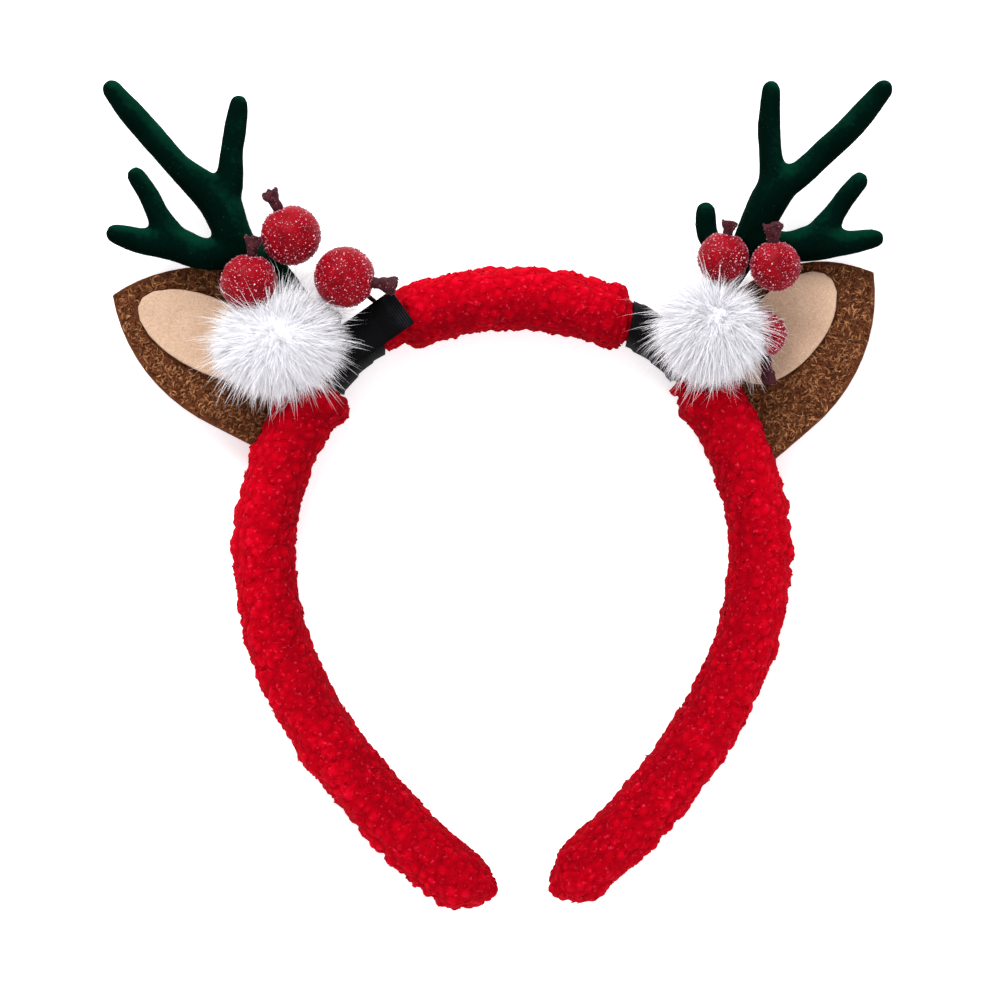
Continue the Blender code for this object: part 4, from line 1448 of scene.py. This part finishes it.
@dataclass
class Pompom:
    """A ball of fur, brushed outwards from its crown: woolly underfur, longer hairs in locks.

    Each hair stands up a little, is held to its lock by a share and bends at its knee, which
    is a share of the way along it and bulges by a share of its reach. The whorl is the width
    of the crown where the hairs stand, and a hair that comes nearer to its neighbours than the
    first clearance is moved out to the second.
    """

    side: Side
    middle: Triple
    core: Triple
    crown: Triple
    tuft: Triple
    long: float
    wisp: float
    wisp_share: float = 0.05
    tuft_gain: float = 0.6
    unruly: float = 0.28
    hairs: int = 9900
    locks: int = 420
    rings: int = 4
    back: float = -0.35
    stand: Pair = (0.3, 0.85)
    held: Pair = (0.0, 0.6)
    long_share: float = 0.4
    long_reach: Pair = (0.6, 1.0)
    short_reach: Pair = (0.3, 0.65)
    root_depth: float = 0.9
    knee: Pair = (0.45, 0.16)
    stray: float = 0.5
    whorl: float = 0.15
    clear: Pair = (0.15, 0.3)
    thick: Pair = (0.05, 0.1)
    thin_tip: float = 0.3
    wool: float = 2.0
    wool_height: float = 0.5
    seed: int = 81

    def build(self) -> None:
        """Build the undercoat and the hairs."""
        label = self.side.label
        undercoat = self.undercoat_mesh()
        hairs = self.hair_mesh()
        show_piece(f"pompom_hairs_{label}", hairs, FUR, [f"pompom_{label}"])
        show_piece(f"pompom_undercoat_{label}", undercoat, FUR)

    def undercoat_mesh(self) -> Mesh:
        """Make the woolly ball under the hairs."""
        mesh = ball(1.0, self.middle, self.core)
        wool = smooth_noise(points_of(mesh), self.wool, self.seed) - 0.6
        raise_points(mesh, wool * self.wool_height)
        # Painted shade in the wool's dips, lighter on its bumps
        set_nap(mesh, 0.6 + 0.3 * wool)
        return mesh

    def hair_mesh(self) -> Mesh:
        """Grow the hairs out of the undercoat, drawn together in locks.

        Returns:
            The joined hairs.
        """
        rng = np.random.default_rng(self.seed + self.side.value)
        out = unit(rng.normal(size=(self.hairs * 2, 3)))
        out = out[out[:, 2] > self.back][: self.hairs]
        count = len(out)
        locks = unit(rng.normal(size=(self.locks, 3)))
        lock = locks[np.argmax(out @ locks.T, axis=1)]
        lift = column(rng, count, self.stand)
        held = column(rng, count, self.held)
        long = column(rng, count) < self.long_share
        reaches = [column(rng, count, span) for span in (self.long_reach, self.short_reach)]
        wisps = column(rng, count) < self.wisp_share
        reach = np.where(wisps, column(rng, count, (1.0, self.wisp)), np.where(long, *reaches))
        toward = np.clip(out @ np.array(Vector(self.tuft).normalized()), 0.0, 1.0)
        reach = reach * self.long * (1 + self.tuft_gain * toward[:, None] ** 5)
        crown = np.array(Vector(self.crown).normalized())
        crowns = unit(crown + rng.normal(0.0, self.unruly, size=(count, 3)))
        root, lock_root = (ways * np.array(self.core) * self.root_depth for ways in (out, lock))
        own = root + reach * self.brushed(out, lift, crowns)
        shared = lock_root + reach * self.brushed(lock, lift, crown[None])
        stray = rng.normal(0.0, self.stray, size=(count, 3))
        tip = own * (1 - held) + shared * held + stray
        share, bulge = self.knee
        knee = root + (tip - root) * share + out * reach * bulge
        t = np.linspace(0.0, 1.0, self.rings)[None, :, None]
        lines = root[:, None] * (1 - t) ** 2 + 2 * knee[:, None] * t * (1 - t) + tip[:, None] * t**2
        lines = (lines + np.array(self.middle)) * MM
        self.comb(lines)
        radii = column(rng, count, self.thick) * MM * np.linspace(1.0, self.thin_tip, self.rings)
        # Painted shade: each hair is greyer at its root, where the hairs crowd
        nap = np.linspace(0.4, 1.0, self.rings)[None] * column(rng, count, (0.8, 1.0))
        return fibres("fur", lines, radii, nap, rng, pointed=True)

    def brushed(self, out: Array, lift: Array, crowns: Array) -> Array:
        """Return the way the hairs lie that grow in the given directions.

        Args:
            out: the directions from the middle of the ball.
            lift: how steeply each hair stands.
            crowns: the direction of the crown, for all hairs or for each.

        Returns:
            Directions that lean away from the crown.
        """
        away = out * np.sum(out * crowns, axis=1, keepdims=True) - crowns
        along = away / (np.linalg.norm(away, axis=1, keepdims=True) + self.whorl)
        return unit(out * lift + along)

    def comb(self, lines: Array) -> None:
        """Push the hairs out of what lies round the pompom, in place.

        Args:
            lines: each hair's points, as hair by ring by coordinate, in metres.
        """
        label = self.side.label
        neighbours = [f"berry_{b.name}" for b in BERRIES if b.name.startswith(label)]
        neighbours += [f"ear_outer_{label}", f"ear_inner_{label}", f"ribbon_wrap_{label}"]
        neighbours += [f"antler_{label}", "red_band"]
        if self.side is Side.LEFT:
            neighbours.append("ribbon_strip")
        flat = lines.reshape(-1, 3)
        least, room = self.clear
        for name in neighbours:
            low, high = (np.array(corner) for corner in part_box(name))
            inside = np.all((flat > low) & (flat < high), axis=1)
            tree = tree_of(node_copy(name))
            for number in np.flatnonzero(inside):
                place = Vector(flat[number])
                near, facing, _, _ = tree.find_nearest(place)
                if (place - near).dot(facing) < least * MM:
                    flat[number] = near + facing * room * MM


POMPOMS = (
    Pompom(
        Side.LEFT, middle=(-60.3, -12.4, 23.0), core=(14.3, 10.8, 9.6), crown=(0.0, 0.3, 1.0),
        tuft=(0.5, 1.0, 0.25), long=9.6, wisp=1.6,
    ),
    Pompom(
        Side.RIGHT, middle=(51.4, -9.3, 24.0), core=(10.7, 10.4, 8.6), crown=(0.2, 0.7, 1.0),
        tuft=(-0.5, 1.0, 0.4), long=9.3, wisp=1.6,
    ),
)


@dataclass
class Studio:
    """A pale table under soft light, seen from straight above.

    Each lamp has its name, its place, its side in millimetres and its power in watts.
    """

    view_width: float = 260.0
    plane_distance: float = 1389.0
    camera_place: Triple = (-3.12, -52.52, 1400.0)
    sensor: float = 36.0
    aim: Triple = (0.0, -50.0, 10.0)
    lamps: tuple = (
        ("key_lamp", (-300.0, 900.0, 1000.0), 700.0, 20.0),
        ("fill_lamp", (500.0, -900.0, 900.0), 900.0, 4.0),
    )

    def build(self) -> None:
        """Set the camera, the floor, the world and the lamps."""
        scene = bpy.context.scene
        lens = bpy.data.cameras.new("camera")
        lens.sensor_width = self.sensor
        lens.lens = self.sensor * self.plane_distance / self.view_width
        lens.clip_end = 10.0
        camera = bpy.data.objects.new("camera", lens)
        camera.location = Vector(self.camera_place) * MM
        scene.collection.objects.link(camera)
        scene.camera = camera
        scene.view_settings.view_transform = "Standard"
        self.floor()
        self.world()
        for settings in self.lamps:
            self.lamp(*settings)

    def floor(self) -> None:
        """Lay the pale table under the headband."""
        shape = bmesh.new()
        bmesh.ops.create_grid(shape, x_segments=1, y_segments=1, size=3.0)
        bmesh.ops.translate(shape, verts=shape.verts[:], vec=(0.0, 0.0, -0.02 * MM))
        mesh = to_mesh(shape, "table")
        mesh.materials.append(TABLE.material())
        table = bpy.data.objects.new("table", mesh)
        bpy.context.scene.collection.objects.link(table)

    def world(self) -> None:
        """Surround the table with even pale light."""
        world = bpy.data.worlds.new("studio")
        world.use_nodes = True
        world.node_tree.nodes.clear()
        light = add_node(
            world.node_tree, "ShaderNodeBackground", {"Color": linear("#FAFBFF"), "Strength": 1.0}
        )
        add_node(
            world.node_tree, "ShaderNodeOutputWorld", None, {"Surface": light.outputs["Background"]}
        )
        bpy.context.scene.world = world

    def lamp(self, name: str, place: Triple, size: float, power: float) -> None:
        """Hang a large soft lamp that points at the headband.

        Args:
            name: the lamp's name.
            place: where it hangs, in millimetres.
            size: its side, in millimetres.
            power: its power in watts.
        """
        light = bpy.data.lights.new(name, "AREA")
        light.size = size * MM
        light.energy = power
        lamp = bpy.data.objects.new(name, light)
        lamp.location = Vector(place) * MM
        away = Vector(self.aim) - Vector(place)
        lamp.rotation_mode = "QUATERNION"
        lamp.rotation_quaternion = away.to_track_quat("-Z", "Y")
        bpy.context.scene.collection.objects.link(lamp)


def main() -> None:
    """Build every piece in order."""
    logging.basicConfig(level=logging.INFO, format="%(name)s %(message)s")
    wraps = [RibbonWrap(side) for side in Side]
    for part in (
        Studio(), FleeceBand(), *wraps, RibbonEnd(), *EARS, *ANTLERS, *BERRIES, *POMPOMS
    ):
        part.build()
    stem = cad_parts["berry_stem"].data
    stem.materials.clear()
    stem.materials.append(CALYX.material())


if __name__ == "__main__":
    main()
